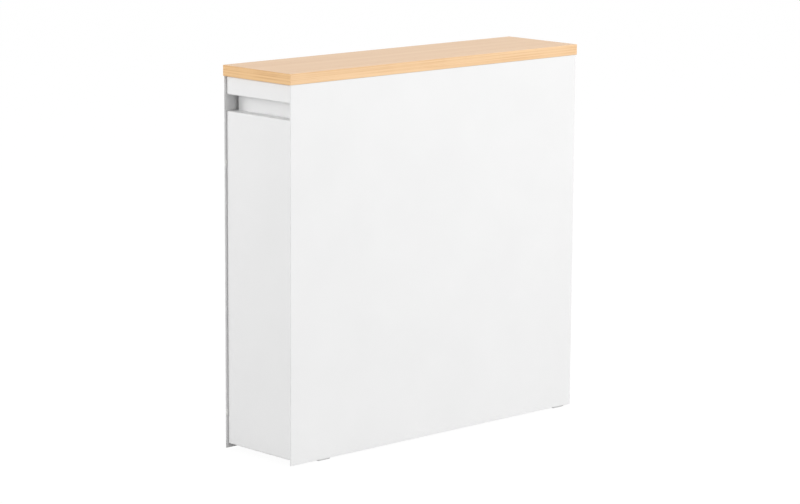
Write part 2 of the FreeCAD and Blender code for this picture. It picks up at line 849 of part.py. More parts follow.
# Balls of both stages, and the strips that keep them apart.
balls_per_row = 8
retainer_front = f"({slide_front} + retainer_start)"
retainer_rear = f"({retainer_front} + {balls_per_row - 1} * ball_pitch + 2 * retainer_end)"
for stage in ("outer", "inner"):
    ball_x = f"({slide_back} - {ball_offsets[stage]})"
    rows = [(side, f"({slide_centre} + {sign} * {ball_drops[stage]})") for side in SIDES for sign in SIDES]
    ball_places = [f"({retainer_front} + retainer_end + {i} * ball_pitch)" for i in range(balls_per_row)]
    strips = []
    balls = []
    for side, row_z in rows:
        x = f"{side} * {ball_x}"
        strip = new_body(f"{stage}_strip")
        edges = (f"{x} - {retainer_width} / 2", f"{x} + {retainer_width} / 2")
        strip_outline = rectangle(*edges, retainer_front, retainer_rear)
        bottom, top = f"{row_z} - retainer_sheet / 2", f"{row_z} + retainer_sheet / 2"
        pad(strip, "XY", [strip_outline], bottom, top)
        ball_hole = "ball_diameter + 2 * ball_clearance"
        pocket(strip, "XY", bottom, top, holes=[(x, y, ball_hole) for y in ball_places])
        strips.append(strip)
        balls += [turned("Sphere", (x, y, row_z), "+Z", Radius="ball_diameter / 2") for y in ball_places]
    nodes += [group(f"{stage}_ball_retainers", strips), group(f"{stage}_balls", balls)]

# Pull-out front: face, folded-back ledge under the slot and bottom return in one sheet, with side returns.
return_rear = f"({recess_y} - return_clearance)"
front_panel = folded_sheet(
    "front_panel",
    "YZ",
    [
        (return_rear, front_bottom),
        (face_y, front_bottom),
        (face_y, slot_bottom),
        (recess_y, slot_bottom),
    ],
    "front_sheet",
    f"-{front_half}",
    front_half,
    side=-1,
)
return_span = rectangle(
    f"{face_y} + front_sheet / 2",
    return_rear,
    f"{front_bottom} + front_sheet / 2",
    f"{slot_bottom} - return_relief",
)
pad(front_panel, "YZ", [return_span], f"-{front_half}", f"-{front_half} + front_sheet")
pad(front_panel, "YZ", [return_span], f"{front_half} - front_sheet", front_half)
nodes.append(front_panel)

# Fascia over the slot: hemmed below for the fingers, folded back on top to the inner panel.
front_fascia = folded_sheet(
    "front_fascia",
    "YZ",
    [
        (f"{face_y} + fascia_hem", fascia_bottom),
        (face_y, fascia_bottom),
        (face_y, fascia_top),
        (inner_panel_rear, fascia_top),
    ],
    "front_sheet",
    f"-{front_half}",
    front_half,
    side=-1,
)
nodes.append(front_fascia)

# Inner front panel: the slot's back wall, running down behind the front to the tray.
# It holds the front ends of the shelf pins and rails.
inner_panel_top = f"({fascia_top} - front_sheet)"
inner_panel = folded_sheet(
    "front_inner_panel",
    "XY",
    [
        (f"-{inner_panel_half}", f"{recess_y} + inner_panel_flange"),
        (f"-{inner_panel_half}", recess_y),
        (inner_panel_half, recess_y),
        (inner_panel_half, f"{recess_y} + inner_panel_flange"),
    ],
    "inner_panel_sheet",
    tray_bottom,
    inner_panel_top,
)
pin_hole = "pin_diameter + 2 * thread_clearance"
rail_hole = "rail_diameter + 2 * thread_clearance"
pin_heights = {name: f"({z} - pin_diameter / 2 - thread_clearance)" for name, z in shelf_heights.items()}
rail_heights = {name: f"({z} + rail_lift)" for name, z in shelf_heights.items()}
rail_x = f"({shelf_half} - rail_inset)"
pin_holes = [
    (f"{side} * pin_side", f"{z} + {step} * pin_hole_pitch", pin_hole)
    for side in SIDES
    for z in pin_heights.values()
    for step in (-1, 0, 1)
]
rail_holes = [(f"{side} * {rail_x}", z, rail_hole) for side in SIDES for z in rail_heights.values()]
tray_screw_holes = [(f"{side} * tray_screw_side", tray_screw_z, thread_hole) for side in SIDES]
front_beam_screw_z = f"({beam_top} + beam_tab / 2)"
rear_beam_screw_z = f"({beam_top} - beam_tab / 2 - beam_sheet)"
beam_holes = {
    z: [(f"{side} * beam_screw_side", z, thread_hole) for side in SIDES]
    for z in (front_beam_screw_z, rear_beam_screw_z)
}
pocket(
    inner_panel,
    "XZ",
    recess_y,
    inner_panel_rear,
    holes=pin_holes + rail_holes + tray_screw_holes + beam_holes[front_beam_screw_z],
)
nodes.append(inner_panel)


def tray(label, half_width, front, rear, bottom, wall, sheet):
    """An open tray: a folded channel along the depth, closed by a wall at each end."""
    top = f"({bottom} + {wall})"
    body = folded_sheet(
        label,
        "XZ",
        [
            (f"-{half_width}", top),
            (f"-{half_width}", bottom),
            (half_width, bottom),
            (half_width, top),
        ],
        sheet,
        front,
        rear,
        bend="tray_bend",
    )
    # The end walls reach three quarters into the channel's sheet, so their corners stay inside its bends.
    wall_inset = f"({sheet} * 3 / 4)"
    wall_half = f"({half_width} - {wall_inset})"
    end_wall = rectangle(f"-{wall_half}", wall_half, f"{bottom} + {wall_inset}", top)
    pad(body, "XZ", [end_wall], front, f"{front} + {sheet}")
    pad(body, "XZ", [end_wall], f"{rear} - {sheet}", rear)
    return body


# Bottom tray between the slides' inner members, screwed to them and to the end panels.
bottom_tray = tray("bottom_tray", tray_half, tray_front, tray_rear, tray_bottom, "tray_wall", "tray_sheet")
tray_end_holes = [(f"{side} * tray_screw_side", tray_screw_z, bolt_hole) for side in SIDES]
pocket(bottom_tray, "XZ", tray_front, f"{tray_front} + tray_sheet", holes=tray_end_holes)
pocket(bottom_tray, "XZ", f"{tray_rear} - tray_sheet", tray_rear, holes=tray_end_holes)
pocket(
    bottom_tray,
    "YZ",
    f"-{tray_half}",
    tray_half,
    holes=[(y, slide_centre, bolt_hole) for y in stud_places],
)
nodes.append(bottom_tray)
nodes.append(
    group(
        "slide_screws",
        [
            pan_screw(
                (f"{side} * ({tray_half} - tray_sheet)", y, slide_centre),
                "+X" if side > 0 else "-X",
                "tray_screw_length",
            )
            for side in SIDES
            for y in stud_places
        ],
    )
)
tray_screws = [
    pan_screw((f"{side} * tray_screw_side", seat, tray_screw_z), axis, "tray_screw_length")
    for seat, axis in ((f"({tray_front} + tray_sheet)", "-Y"), (f"({tray_rear} - tray_sheet)", "+Y"))
    for side in SIDES
]
nodes.append(group("tray_screws", tray_screws))

# Shelves on their pins, each with a guard rail along both sides.
for name, shelf_z in shelf_heights.items():
    nodes.append(
        tray(f"{name}_shelf", shelf_half, shelf_front, shelf_rear, shelf_z, "shelf_lip", "shelf_sheet")
    )
shelf_pins = []
guard_rails = []
for name in shelf_heights:
    for side in SIDES:
        x = f"{side} * pin_side"
        for seat, axis, sheet in (
            (inner_panel_rear, "+Y", "inner_panel_sheet"),
            (tray_rear, "-Y", "rear_sheet"),
        ):
            spot = (x, seat, pin_heights[name])
            shank = cylinder(along(spot, axis, f"-{sheet}"), axis, "pin_diameter", f"{sheet} + pin_reach")
            collar = cylinder(spot, axis, "pin_collar_diameter", "pin_collar")
            shelf_pins.append(joined([shank, collar]))
        guard_rails.append(
            cylinder(
                (f"{side} * {rail_x}", recess_y, rail_heights[name]),
                "+Y",
                "rail_diameter",
                f"{rear_panel_back} - {recess_y}",
            )
        )
nodes += [group("shelf_pins", shelf_pins), group("guard_rails", guard_rails)]

# Mats that lie in the tray and on the shelves.
mat_seats = {"bottom": (tray_half, tray_front, tray_rear, "tray_sheet", tray_floor)}
for name, shelf_z in shelf_heights.items():
    mat_seats[name] = (shelf_half, shelf_front, shelf_rear, "shelf_sheet", f"({shelf_z} + shelf_sheet)")
for name, (half_width, front, rear, wall, floor) in mat_seats.items():
    mat = new_body(f"{name}_mat")
    half = f"({half_width} - {wall} - mat_gap)"
    mat_outline = rectangle(f"-{half}", half, f"{front} + {wall} + mat_gap", f"{rear} - {wall} - mat_gap")
    pad(mat, "XY", [mat_outline], floor, f"{floor} + mat_thickness")
    nodes.append(mat)

# Rear panel of the pull-out, with stiffening flanges above the tray.
rear_panel = folded_sheet(
    "rear_panel",
    "XY",
    [
        (f"-{tray_half}", f"{rear_panel_back} - rear_panel_flange"),
        (f"-{tray_half}", rear_panel_back),
        (tray_half, rear_panel_back),
        (tray_half, f"{rear_panel_back} - rear_panel_flange"),
    ],
    "rear_sheet",
    f"{tray_top} + sheet_bend",
    beam_top,
    side=-1,
)
skirt_half = f"({tray_half} - rear_sheet - sheet_bend)"
pad(
    rear_panel,
    "XZ",
    [rectangle(f"-{skirt_half}", skirt_half, tray_bottom, f"{tray_top} + 2 * sheet_bend")],
    tray_rear,
    rear_panel_back,
)
strike_rivet_spots = [(f"{side} * strike_rivet_spacing / 2", catch_centre) for side in SIDES]
pocket(
    rear_panel,
    "XZ",
    tray_rear,
    rear_panel_back,
    holes=pin_holes
    + rail_holes
    + tray_screw_holes
    + beam_holes[rear_beam_screw_z]
    + [(x, z, rivet_hole) for x, z in strike_rivet_spots],
)
nodes.append(rear_panel)

# Top beam: ties the inner front panel to the rear panel and carries the upper guide.
beam_half = "(beam_width / 2)"
top_beam = folded_sheet(
    "top_beam",
    "YZ",
    [
        (tray_front, f"{beam_top} + beam_tab"),
        (tray_front, beam_under),
        (f"({tray_rear} - beam_sheet)", beam_under),
        (f"({tray_rear} - beam_sheet)", f"{beam_under} - beam_tab"),
    ],
    "beam_sheet",
    f"-{beam_half}",
    beam_half,
)
skirt_heights = (f"{beam_under} - beam_skirt", f"{beam_top} - beam_sheet / 2")
skirts = [
    rectangle(f"-{beam_half}", f"-{beam_half} + beam_sheet", *skirt_heights),
    rectangle(f"{beam_half} - beam_sheet", beam_half, *skirt_heights),
]
pad(top_beam, "XZ", skirts, f"{tray_front} + beam_tab", f"{tray_rear} - beam_tab")
guide_pin_hole = "guide_pin_diameter + 2 * thread_clearance"
pocket(top_beam, "XY", beam_under, beam_top, holes=[("0", roller_y, guide_pin_hole)])
for z, seat in ((front_beam_screw_z, tray_front), (rear_beam_screw_z, f"({tray_rear} - beam_sheet)")):
    clear_holes = [(x, height, bolt_hole) for x, height, _ in beam_holes[z]]
    pocket(top_beam, "XZ", seat, f"{seat} + beam_sheet", holes=clear_holes)
nodes.append(top_beam)
beam_screws = [
    pan_screw((x, seat, z), axis, f"beam_sheet + {panel_sheet}")
    for z, seat, axis, panel_sheet in (
        (front_beam_screw_z, f"({tray_front} + beam_sheet)", "-Y", "inner_panel_sheet"),
        (rear_beam_screw_z, f"({tray_rear} - beam_sheet)", "+Y", "rear_sheet"),
    )
    for x, _, _ in beam_holes[z]
]
nodes.append(group("beam_screws", beam_screws))

# Upper guide: a slotted rail under the deck, with a nylon roller that runs in it on a pin from the beam.
guide_rail = folded_sheet(
    "guide_rail",
    "XZ",
    [
        ("guide_rail_slot / 2", guide_rail_bottom),
        (guide_rail_half, guide_rail_bottom),
        (guide_rail_half, deck_under),
        (f"-{guide_rail_half}", deck_under),
        (f"-{guide_rail_half}", guide_rail_bottom),
        ("-guide_rail_slot / 2", guide_rail_bottom),
    ],
    "guide_rail_sheet",
    f"{pan_front} + guide_rail_end_gap",
    f"{pan_rear} - guide_rail_end_gap",
)
nodes.append(guide_rail)
roller_spot = ("0", roller_y, roller_bottom)
guide_roller = cut_from(
    cylinder(roller_spot, "+Z", "roller_diameter", "roller_width"),
    cylinder(roller_spot, "+Z", guide_pin_hole, "roller_width"),
)
guide_roller.Label = "guide_roller"
collar_height = f"({roller_bottom} - {beam_top} - roller_clearance)"
pin_top = f"({roller_bottom} + roller_width + roller_clearance)"
guide_pin = joined(
    [
        cylinder(("0", roller_y, beam_under), "+Z", "guide_pin_diameter", f"{pin_top} - {beam_under}"),
        cylinder(("0", roller_y, beam_top), "+Z", "guide_pin_collar", collar_height),
        cylinder(("0", roller_y, pin_top), "+Z", "guide_pin_head", "guide_pin_head_thickness"),
    ]
)
guide_pin.Label = "guide_pin"
nodes += [guide_roller, guide_pin]

# Magnet catch on the back panel and strike plate on the rear panel. Two buffers end the closing travel.
strike_back = f"({rear_panel_back} + strike_sheet)"
catch_heights = (f"{catch_centre} - catch_height / 2", f"{catch_centre} + catch_height / 2")
magnet_catch = new_body("magnet_catch")
catch_outline = rectangle("-catch_width / 2", "catch_width / 2", *catch_heights)
pad(magnet_catch, "XZ", [catch_outline], f"{strike_back} + catch_gap", back_inner)
pocket(
    magnet_catch,
    "XZ",
    f"{strike_back} + catch_gap",
    back_inner,
    holes=[(x, z, rivet_hole) for x, z in catch_rivet_spots],
)
nodes.append(magnet_catch)
strike_plate = new_body("strike_plate")
strike_outline = rectangle("-strike_width / 2", "strike_width / 2", *catch_heights)
pad(strike_plate, "XZ", [strike_outline], rear_panel_back, strike_back)
pocket(
    strike_plate,
    "XZ",
    rear_panel_back,
    strike_back,
    holes=[(x, z, rivet_hole) for x, z in strike_rivet_spots],
)
nodes.append(strike_plate)
nodes.append(
    group(
        "strike_rivets",
        [rivet((x, tray_rear, z), "+Y", "rear_sheet + strike_sheet") for x, z in strike_rivet_spots],
    )
)
nodes.append(
    group(
        "catch_rivets",
        [
            rivet((x, back_outer, z), "-Y", f"{back_outer} - {strike_back} - catch_gap")
            for x, z in catch_rivet_spots
        ],
    )
)
nodes.append(
    group(
        "stop_buffers",
        [
            joined(
                [
                    cylinder((x, back_inner, z), "-Y", "buffer_diameter", "rear_gap - buffer_gap"),
                    cylinder((x, back_outer, z), "-Y", "buffer_stem", "back_sheet"),
                ]
            )
            for x, z in buffer_spots
        ],
    )
)

# Every object has to be sound before anything is written.
doc.recompute()
failed = [item.Label for item in doc.Objects if {"Invalid", "Error"} & set(item.State)]
failed += [node.Label for node in nodes if node.Shape.isNull() or not node.Shape.isValid()]
if failed:
    raise RuntimeError(f"these objects failed: {failed}")
os.makedirs("parts", exist_ok=True)
for node in nodes:
    node.Shape.exportStep(f"parts/{node.Label}.step")
print(len(nodes), "sub-parts written")
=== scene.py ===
import math

import bmesh
import bpy
from mathutils import Matrix, Vector


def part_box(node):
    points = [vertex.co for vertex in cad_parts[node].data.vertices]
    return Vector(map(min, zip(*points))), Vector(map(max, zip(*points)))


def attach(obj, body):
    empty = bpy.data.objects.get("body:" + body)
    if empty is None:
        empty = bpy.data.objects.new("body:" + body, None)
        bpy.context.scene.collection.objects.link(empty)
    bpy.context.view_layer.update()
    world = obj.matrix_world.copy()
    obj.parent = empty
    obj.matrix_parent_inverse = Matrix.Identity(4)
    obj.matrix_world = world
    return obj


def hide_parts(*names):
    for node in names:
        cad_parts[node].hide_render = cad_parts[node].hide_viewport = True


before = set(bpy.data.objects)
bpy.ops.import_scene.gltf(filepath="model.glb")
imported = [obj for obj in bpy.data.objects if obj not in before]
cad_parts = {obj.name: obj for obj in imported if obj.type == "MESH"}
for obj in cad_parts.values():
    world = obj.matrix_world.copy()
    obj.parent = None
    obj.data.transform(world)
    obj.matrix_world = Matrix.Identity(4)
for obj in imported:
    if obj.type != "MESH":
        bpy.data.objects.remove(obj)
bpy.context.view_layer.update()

# The studio: a wide pale floor that runs out of sight into a white surround, with soft lamps on the
# right and in front. To the eye the floor is white, with a faint shadow of the cabinet, and the camera
# stands where the photograph was taken from.
scene = bpy.context.scene
scene.view_settings.view_transform = "Standard"
PURE_WHITE = (1.0, 1.0, 1.0, 1.0)


def add_node(tree, kind, inputs, **settings):
    """A node with its settings; each input is a plain value or another node's output."""
    node = tree.nodes.new(kind)
    for name, setting in settings.items():
        setattr(node, name, setting)
    for name, source in inputs.items():
        if isinstance(source, bpy.types.NodeSocket):
            tree.links.new(source, node.inputs[name])
        else:
            node.inputs[name].default_value = source
    return node


def work_out(tree, operation, first, second=0.0):
    """One step of arithmetic in a node tree."""
    return add_node(tree, "ShaderNodeMath", {0: first, 1: second}, operation=operation).outputs[0]


def seen_directly(tree):
    """1 for rays from the camera, from a mirror finish or through glass, and 0 for light on its way."""
    rays = add_node(tree, "ShaderNodeLightPath", {}).outputs
    mirrored_too = work_out(tree, "MAXIMUM", rays["Is Camera Ray"], rays["Is Glossy Ray"])
    return work_out(tree, "MAXIMUM", mirrored_too, rays["Is Transmission Ray"])


def mix_shaders(tree, share, under, over):
    """Two shaders mixed by a share from 0, the first alone, to 1, the second alone."""
    shaders = {0: share, 1: under.outputs[0], 2: over.outputs[0]}
    return add_node(tree, "ShaderNodeMixShader", shaders)


surround_light = 0.626
surround_seen = 1.0
surround = bpy.data.worlds.new("white_surround")
surround.use_nodes = True
scene.world = surround
tree = surround.node_tree
tree.nodes.clear()
light = add_node(tree, "ShaderNodeBackground", {"Color": PURE_WHITE, "Strength": surround_light})
white = add_node(tree, "ShaderNodeBackground", {"Color": PURE_WHITE, "Strength": surround_seen})
either = mix_shaders(tree, seen_directly(tree), light, white)
add_node(tree, "ShaderNodeOutputWorld", {"Surface": either.outputs[0]})

floor_reach = 30.0
floor_colour = (0.5, 0.5, 0.5, 1.0)
floor_white = 1.09
floor_shadow_share = 0.12
floor_mesh = bpy.data.meshes.new("studio_floor")
floor_corners = [(x * floor_reach, y * floor_reach, 0) for x, y in ((-1, -1), (1, -1), (1, 1), (-1, 1))]
floor_mesh.from_pydata(floor_corners, [], [(0, 1, 2, 3)])
floor = bpy.data.objects.new("studio_floor", floor_mesh)
scene.collection.objects.link(floor)
floor_finish = bpy.data.materials.new("pale_floor")
floor_finish.use_nodes = True
tree = floor_finish.node_tree
tree.nodes.clear()
shaded = add_node(tree, "ShaderNodeBsdfDiffuse", {"Color": floor_colour})
white = add_node(tree, "ShaderNodeEmission", {"Color": PURE_WHITE, "Strength": floor_white})
faint = mix_shaders(tree, floor_shadow_share, white, shaded)
either = mix_shaders(tree, seen_directly(tree), shaded, faint)
add_node(tree, "ShaderNodeOutputMaterial", {"Surface": either.outputs[0]})
floor_mesh.materials.append(floor_finish)


def soft_lamp(name, place, aim, size, power):
    """A round lamp with its place, what it points at and its width in metres, and its power in watts."""
    lamp = bpy.data.lights.new(name, "AREA")
    lamp.shape = "DISK"
    lamp.size = size
    lamp.energy = power
    holder = bpy.data.objects.new(name, lamp)
    holder.location = place
    holder.rotation_mode = "QUATERNION"
    holder.rotation_quaternion = (Vector(aim) - Vector(place)).to_track_quat("-Z", "Y")
    scene.collection.objects.link(holder)


soft_lamp("right_lamp", place=(3.6, 1.6, 2.4), aim=(0, 0.2, 0.4), size=5.6, power=147)
soft_lamp("front_lamp", place=(-0.5, -3.4, 0.95), aim=(0, -0.3, 0.4), size=1.7, power=13.5)
soft_lamp("front_left_lamp", place=(-2.1, -2.7, 1.0), aim=(0, -0.3, 0.4), size=1.7, power=25)
soft_lamp("front_left_high_lamp", place=(-2.2, -2.8, 2.2), aim=(0, 0, 0.4), size=2.0, power=10)

camera_azimuth = math.radians(46.738)
camera_pitch = math.radians(10.427)
camera_roll = math.radians(0.337)
camera_distance = 5.4097
camera_aside = -0.0087
camera_aim_height = 0.3334
focal_length = 130.92
sensor_width = 36.0
sideways = Vector((math.cos(camera_azimuth), math.sin(camera_azimuth), 0))
ahead = Vector(
    (
        -math.sin(camera_azimuth) * math.cos(camera_pitch),
        math.cos(camera_azimuth) * math.cos(camera_pitch),
        -math.sin(camera_pitch),
    )
)
upwards = sideways.cross(ahead)
image_right = sideways * math.cos(camera_roll) + upwards * math.sin(camera_roll)
image_up = upwards * math.cos(camera_roll) - sideways * math.sin(camera_roll)
camera_place = sideways * camera_aside + Vector((0, 0, camera_aim_height)) - ahead * camera_distance
camera_turn = Matrix((image_right, image_up, -ahead)).transposed().to_4x4()
lens = bpy.data.cameras.new("photograph_view")
lens.lens = focal_length
lens.sensor_width = sensor_width
camera = bpy.data.objects.new("photograph_view", lens)
camera.matrix_world = Matrix.Translation(camera_place) @ camera_turn
scene.collection.objects.link(camera)
scene.camera = camera

# The base pan: a channel of sheet steel between the side panels that carries the feet and the slides.
# It is folded, pierced and powder coated white; the coating rounds its cut edges.
MM = 0.001
SAME_PLACE = 0.001 * MM
FLAT_WITHIN = math.radians(0.5)
SHARP_FROM = math.radians(48)
SHEET_EASE = 0.3 * MM


def paint(red, green, blue):
    """A colour of a paint chart, from 0 to 255 as screens show it, as light values by the sRGB curve."""
    levels = [v / 255 for v in (red, green, blue)]
    return [v / 12.92 if v <= 0.04045 else ((v + 0.055) / 1.055) ** 2.4 for v in levels]


def new_material(name, colour, metallic=0.0):
    """A material with one shader, ready for its pattern; gives the material, its tree and the shader."""
    material = bpy.data.materials.new(name)
    material.use_nodes = True
    shader = material.node_tree.nodes["Principled BSDF"]
    shader.inputs["Base Color"].default_value = (*colour, 1.0)
    shader.inputs["Metallic"].default_value = metallic
    return material, material.node_tree, shader


def own_places(tree):
    """Where each point of a piece lies, in metres, for patterns that stay with the piece."""
    return add_node(tree, "ShaderNodeTexCoord", {}).outputs["Object"]


def grain(tree, place, waves, detail=2.0):
    """Cloudy noise from 0 to 1 of about so many waves in a metre."""
    noise = add_node(tree, "ShaderNodeTexNoise", {"Vector": place, "Scale": waves, "Detail": detail})
    return noise.outputs["Fac"]


def blend_colours(tree, share, low, high):
    """A colour between two, by a share that is the first below 0.3 and the second above 0.7."""
    ramp = add_node(tree, "ShaderNodeValToRGB", {"Fac": share})
    for stop, colour, position in zip(ramp.color_ramp.elements, (low, high), (0.3, 0.7)):
        stop.color = (*colour, 1.0)
        stop.position = position
    return ramp.outputs["Color"]


def spread(tree, share, low, high):
    """A number between two, by a share from 0 to 1."""
    between = add_node(tree, "ShaderNodeMapRange", {"Value": share, "To Min": low, "To Max": high})
    return between.outputs["Result"]


def raise_surface(tree, shader, height, depth, strength):
    """Bumps a shader's surface by a height from 0 to 1, which stands for so much depth."""
    bump = add_node(tree, "ShaderNodeBump", {"Strength": strength, "Distance": depth, "Height": height})
    tree.links.new(bump.outputs["Normal"], shader.inputs["Normal"])


def grained_finish(
    name,
    light,
    shade,
    tone_waves,
    roughness,
    roughness_waves,
    bump_waves,
    bump_depth,
    bump_strength,
    tone_detail=2.0,
    bump_detail=2.0,
):
    """A material whose tone, roughness and surface vary finely, each by so many waves in a metre."""
    material, tree, shader = new_material(name, light)
    place = own_places(tree)
    tone = blend_colours(tree, grain(tree, place, tone_waves, tone_detail), shade, light)
    tree.links.new(tone, shader.inputs["Base Color"])
    rough = spread(tree, grain(tree, place, roughness_waves), *roughness)
    tree.links.new(rough, shader.inputs["Roughness"])
    raise_surface(tree, shader, grain(tree, place, bump_waves, bump_detail), bump_depth, bump_strength)
    return material


powder_coat = grained_finish(
    "white_powder_coat",
    light=paint(239, 239, 239),
    shade=paint(237, 237, 237),
    tone_waves=9,
    roughness=(0.38, 0.48),
    roughness_waves=45,
    bump_waves=700,
    bump_depth=0.06 * MM,
    bump_strength=0.25,
)


def make_piece(name, mesh, finish, body, slot, *nodes):
    """Puts a mesh in the scene on its body, in place of its CAD nodes; no finish keeps the mesh's own."""
    if finish is not None:
        mesh.materials.clear()
        mesh.materials.append(finish)
    piece = bpy.data.objects.new(name, mesh)
    scene.collection.objects.link(piece)
    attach(piece, body)
    if nodes:
        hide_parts(*nodes)


def work_object(name, mesh):
    """An object for a mesh that is worked on, which is removed afterwards."""
    work = bpy.data.objects.new(name, mesh)
    scene.collection.objects.link(work)
    return work


def evaluated_mesh(work):
    """The object's mesh with its modifiers worked in."""
    return bpy.data.meshes.new_from_object(work.evaluated_get(bpy.context.evaluated_depsgraph_get()))


def mesh_from(shape, name):
    """A mesh of a shape, which is then let go."""
    mesh = bpy.data.meshes.new(name)
    shape.to_mesh(mesh)
    shape.free()
    return mesh


def joined_copy(node):
    """A CAD node's shape with its loose triangles joined at their corners."""
    shape = bmesh.new()
    shape.from_mesh(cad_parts[node].data)
    bmesh.ops.remove_doubles(shape, verts=shape.verts, dist=SAME_PLACE)
    return shape


def plain_mesh(node):
    """A CAD node's mesh with its flat faces cut into as few pieces as will do."""
    shape = joined_copy(node)
    bmesh.ops.dissolve_limit(shape, angle_limit=FLAT_WITHIN, verts=shape.verts, edges=shape.edges)
    bmesh.ops.triangulate(shape, faces=[face for face in shape.faces if len(face.verts) > 4])
    return mesh_from(shape, node)


def evenly_shaded(work):
    """The worked mesh, shaded so that wide faces look flat beside rounded edges; its object goes."""
    work.data.shade_smooth()
    facing = work.modifiers.new("facing", "WEIGHTED_NORMAL")
    facing.weight = 100
    facing.keep_sharp = False
    result = evaluated_mesh(work)
    bpy.data.objects.remove(work)
    return result


def eased_mesh(mesh, ease, steps):
    """The mesh with its sharp edges rounded by so much."""
    work = work_object("work", mesh)
    rounding = work.modifiers.new("rounding", "BEVEL")
    rounding.width = ease
    rounding.segments = steps
    rounding.limit_method = "ANGLE"
    rounding.angle_limit = SHARP_FROM
    rounding.use_clamp_overlap = False
    rounding.loop_slide = False
    return evenly_shaded(work)


def eased_piece(node, ease, finish, body, slot, steps=2):
    """A piece of the CAD node's shape whose sharp edges are rounded by so much."""
    mesh = eased_mesh(plain_mesh(node), ease, steps)
    make_piece(node + "_eased", mesh, finish, body, slot, node)


eased_piece("base_pan", SHEET_EASE, powder_coat, "cabinet", "white_coated_steel")

# The feet: four moulded blocks of off-white plastic under the base pan, with rounded edges and a matt,
# finely sparked skin. Each is held by a bolt from below, sunk in the block.
FOOT_EASE = 0.8 * MM
moulded_white = grained_finish(
    "moulded_white",
    light=paint(226, 226, 225),
    shade=paint(218, 218, 217),
    tone_waves=160,
    roughness=(0.48, 0.62),
    roughness_waves=300,
    bump_waves=1800,
    bump_depth=0.05 * MM,
    bump_strength=0.4,
)
for corner in ("front_left", "front_right", "rear_left", "rear_right"):
    eased_piece(f"foot_{corner}", FOOT_EASE, moulded_white, "cabinet", "foot_plastic", steps=3)

# Foot bolts and nuts: zinc-plated machine screws with a cross recess, and chamfered hexagon nuts.
# The bolts come up through the feet and the base pan, and the nuts sit on the pan.
THREAD_GAP = 0.1 * MM
POINT_LENGTH = 0.4 * MM
zinc_light = paint(196, 199, 204)
zinc_shade = paint(184, 187, 193)
flakes_in_a_metre = 650.0
zinc_plate, tree, shader = new_material("zinc_plate", zinc_light, metallic=1.0)
place = own_places(tree)
flakes = add_node(tree, "ShaderNodeTexVoronoi", {"Vector": place, "Scale": flakes_in_a_metre})
flake_tone = add_node(tree, "ShaderNodeSeparateColor", {"Color": flakes.outputs["Color"]}).outputs["Red"]
tree.links.new(blend_colours(tree, flake_tone, zinc_shade, zinc_light), shader.inputs["Base Color"])
rough = spread(tree, grain(tree, place, waves=120, detail=3.0), low=0.28, high=0.38)
tree.links.new(rough, shader.inputs["Roughness"])
raise_surface(tree, shader, grain(tree, place, waves=1500), depth=0.01 * MM, strength=0.15)


def solids_of(node):
    """The lowest and the highest corner of each separate solid of a CAD node."""
    shape = joined_copy(node)
    boxes = []
    waiting = set(shape.verts)
    for first in shape.verts:
        if first not in waiting:
            continue
        waiting.discard(first)
        edge_of_search = [first]
        low = first.co.copy()
        high = first.co.copy()
        while edge_of_search:
            vert = edge_of_search.pop()
            low = Vector(map(min, low, vert.co))
            high = Vector(map(max, high, vert.co))
            for edge in vert.link_edges:
                other = edge.other_vert(vert)
                if other in waiting:
                    waiting.discard(other)
                    edge_of_search.append(other)
        boxes.append((low, high))
    shape.free()
    return boxes


def millimetres(points):
    """Profile points (radius, height) that are written in millimetres, turned into metres."""
    return [(radius * MM, height * MM) for radius, height in points]


def shade_round(mesh, crease):
    """Shades a mesh as round, apart from edges that turn by more than so many degrees."""
    mesh.shade_smooth()
    mesh.set_sharp_from_angle(angle=math.radians(crease))


def turned_mesh(name, profile, sides=32, ring=False):
    """A mesh turned about Z from points (radius, height); a ring's profile closes on itself."""
    shape = bmesh.new()
    loops = []
    for radius, height in profile:
        turns = sides if radius > 0 else 1
        angles = [2 * math.pi * i / sides for i in range(turns)]
        points = [(radius * math.cos(a), radius * math.sin(a), height) for a in angles]
        loops.append([shape.verts.new(point) for point in points])
    next_loops = loops[1:] + loops[:1] if ring else loops[1:]
    for near, far in zip(loops, next_loops):
        for i in range(sides):
            j = (i + 1) % sides
            corners = [near[i % len(near)], near[j % len(near)], far[j % len(far)], far[i % len(far)]]
            shape.faces.new(list(dict.fromkeys(corners)))
    bmesh.ops.recalc_face_normals(shape, faces=shape.faces)
    mesh = mesh_from(shape, name)
    shade_round(mesh, crease=35)
    return mesh


def threaded(radius, start, end, pitch=0.7 * MM, depth=0.22 * MM):
    """Profile points of a thread's crests and roots from one height to another."""
    count = max(1, round(abs(end - start) / pitch))
    step = (end - start) / count
    points = []
    for i in range(count):
        points.append((radius - depth, start + step * i))
        points.append((radius, start + step * (i + 0.5)))
    return points + [(radius - depth, end)]


def cross_cut(mesh, width, depth):
    """The head's mesh with a tapered cross recess sunk in its top, at height 0."""
    shape = bmesh.new()
    arm = width / 2
    blade = width / 8
    taper = 0.45
    outline = [
        (blade, blade), (blade, arm), (-blade, arm), (-blade, blade), (-arm, blade), (-arm, -blade),
        (-blade, -blade), (-blade, -arm), (blade, -arm), (blade, -blade), (arm, -blade), (arm, blade),
    ]
    top = [shape.verts.new((x, y, -depth)) for x, y in outline]
    tip = [shape.verts.new((taper * x, taper * y, depth)) for x, y in outline]
    shape.faces.new(top)
    shape.faces.new(tip)
    for i in range(len(outline)):
        shape.faces.new((top[i - 1], top[i], tip[i], tip[i - 1]))
    bmesh.ops.recalc_face_normals(shape, faces=shape.faces)
    cutter = work_object("cross", mesh_from(shape, "cross"))
    work = work_object("head", mesh)
    cut = work.modifiers.new("cut", "BOOLEAN")
    cut.operation = "DIFFERENCE"
    cut.solver = "EXACT"
    cut.object = cutter
    result = evaluated_mesh(work)
    for item in (cutter, work):
        bpy.data.objects.remove(item)
    shade_round(result, crease=35)
    return result


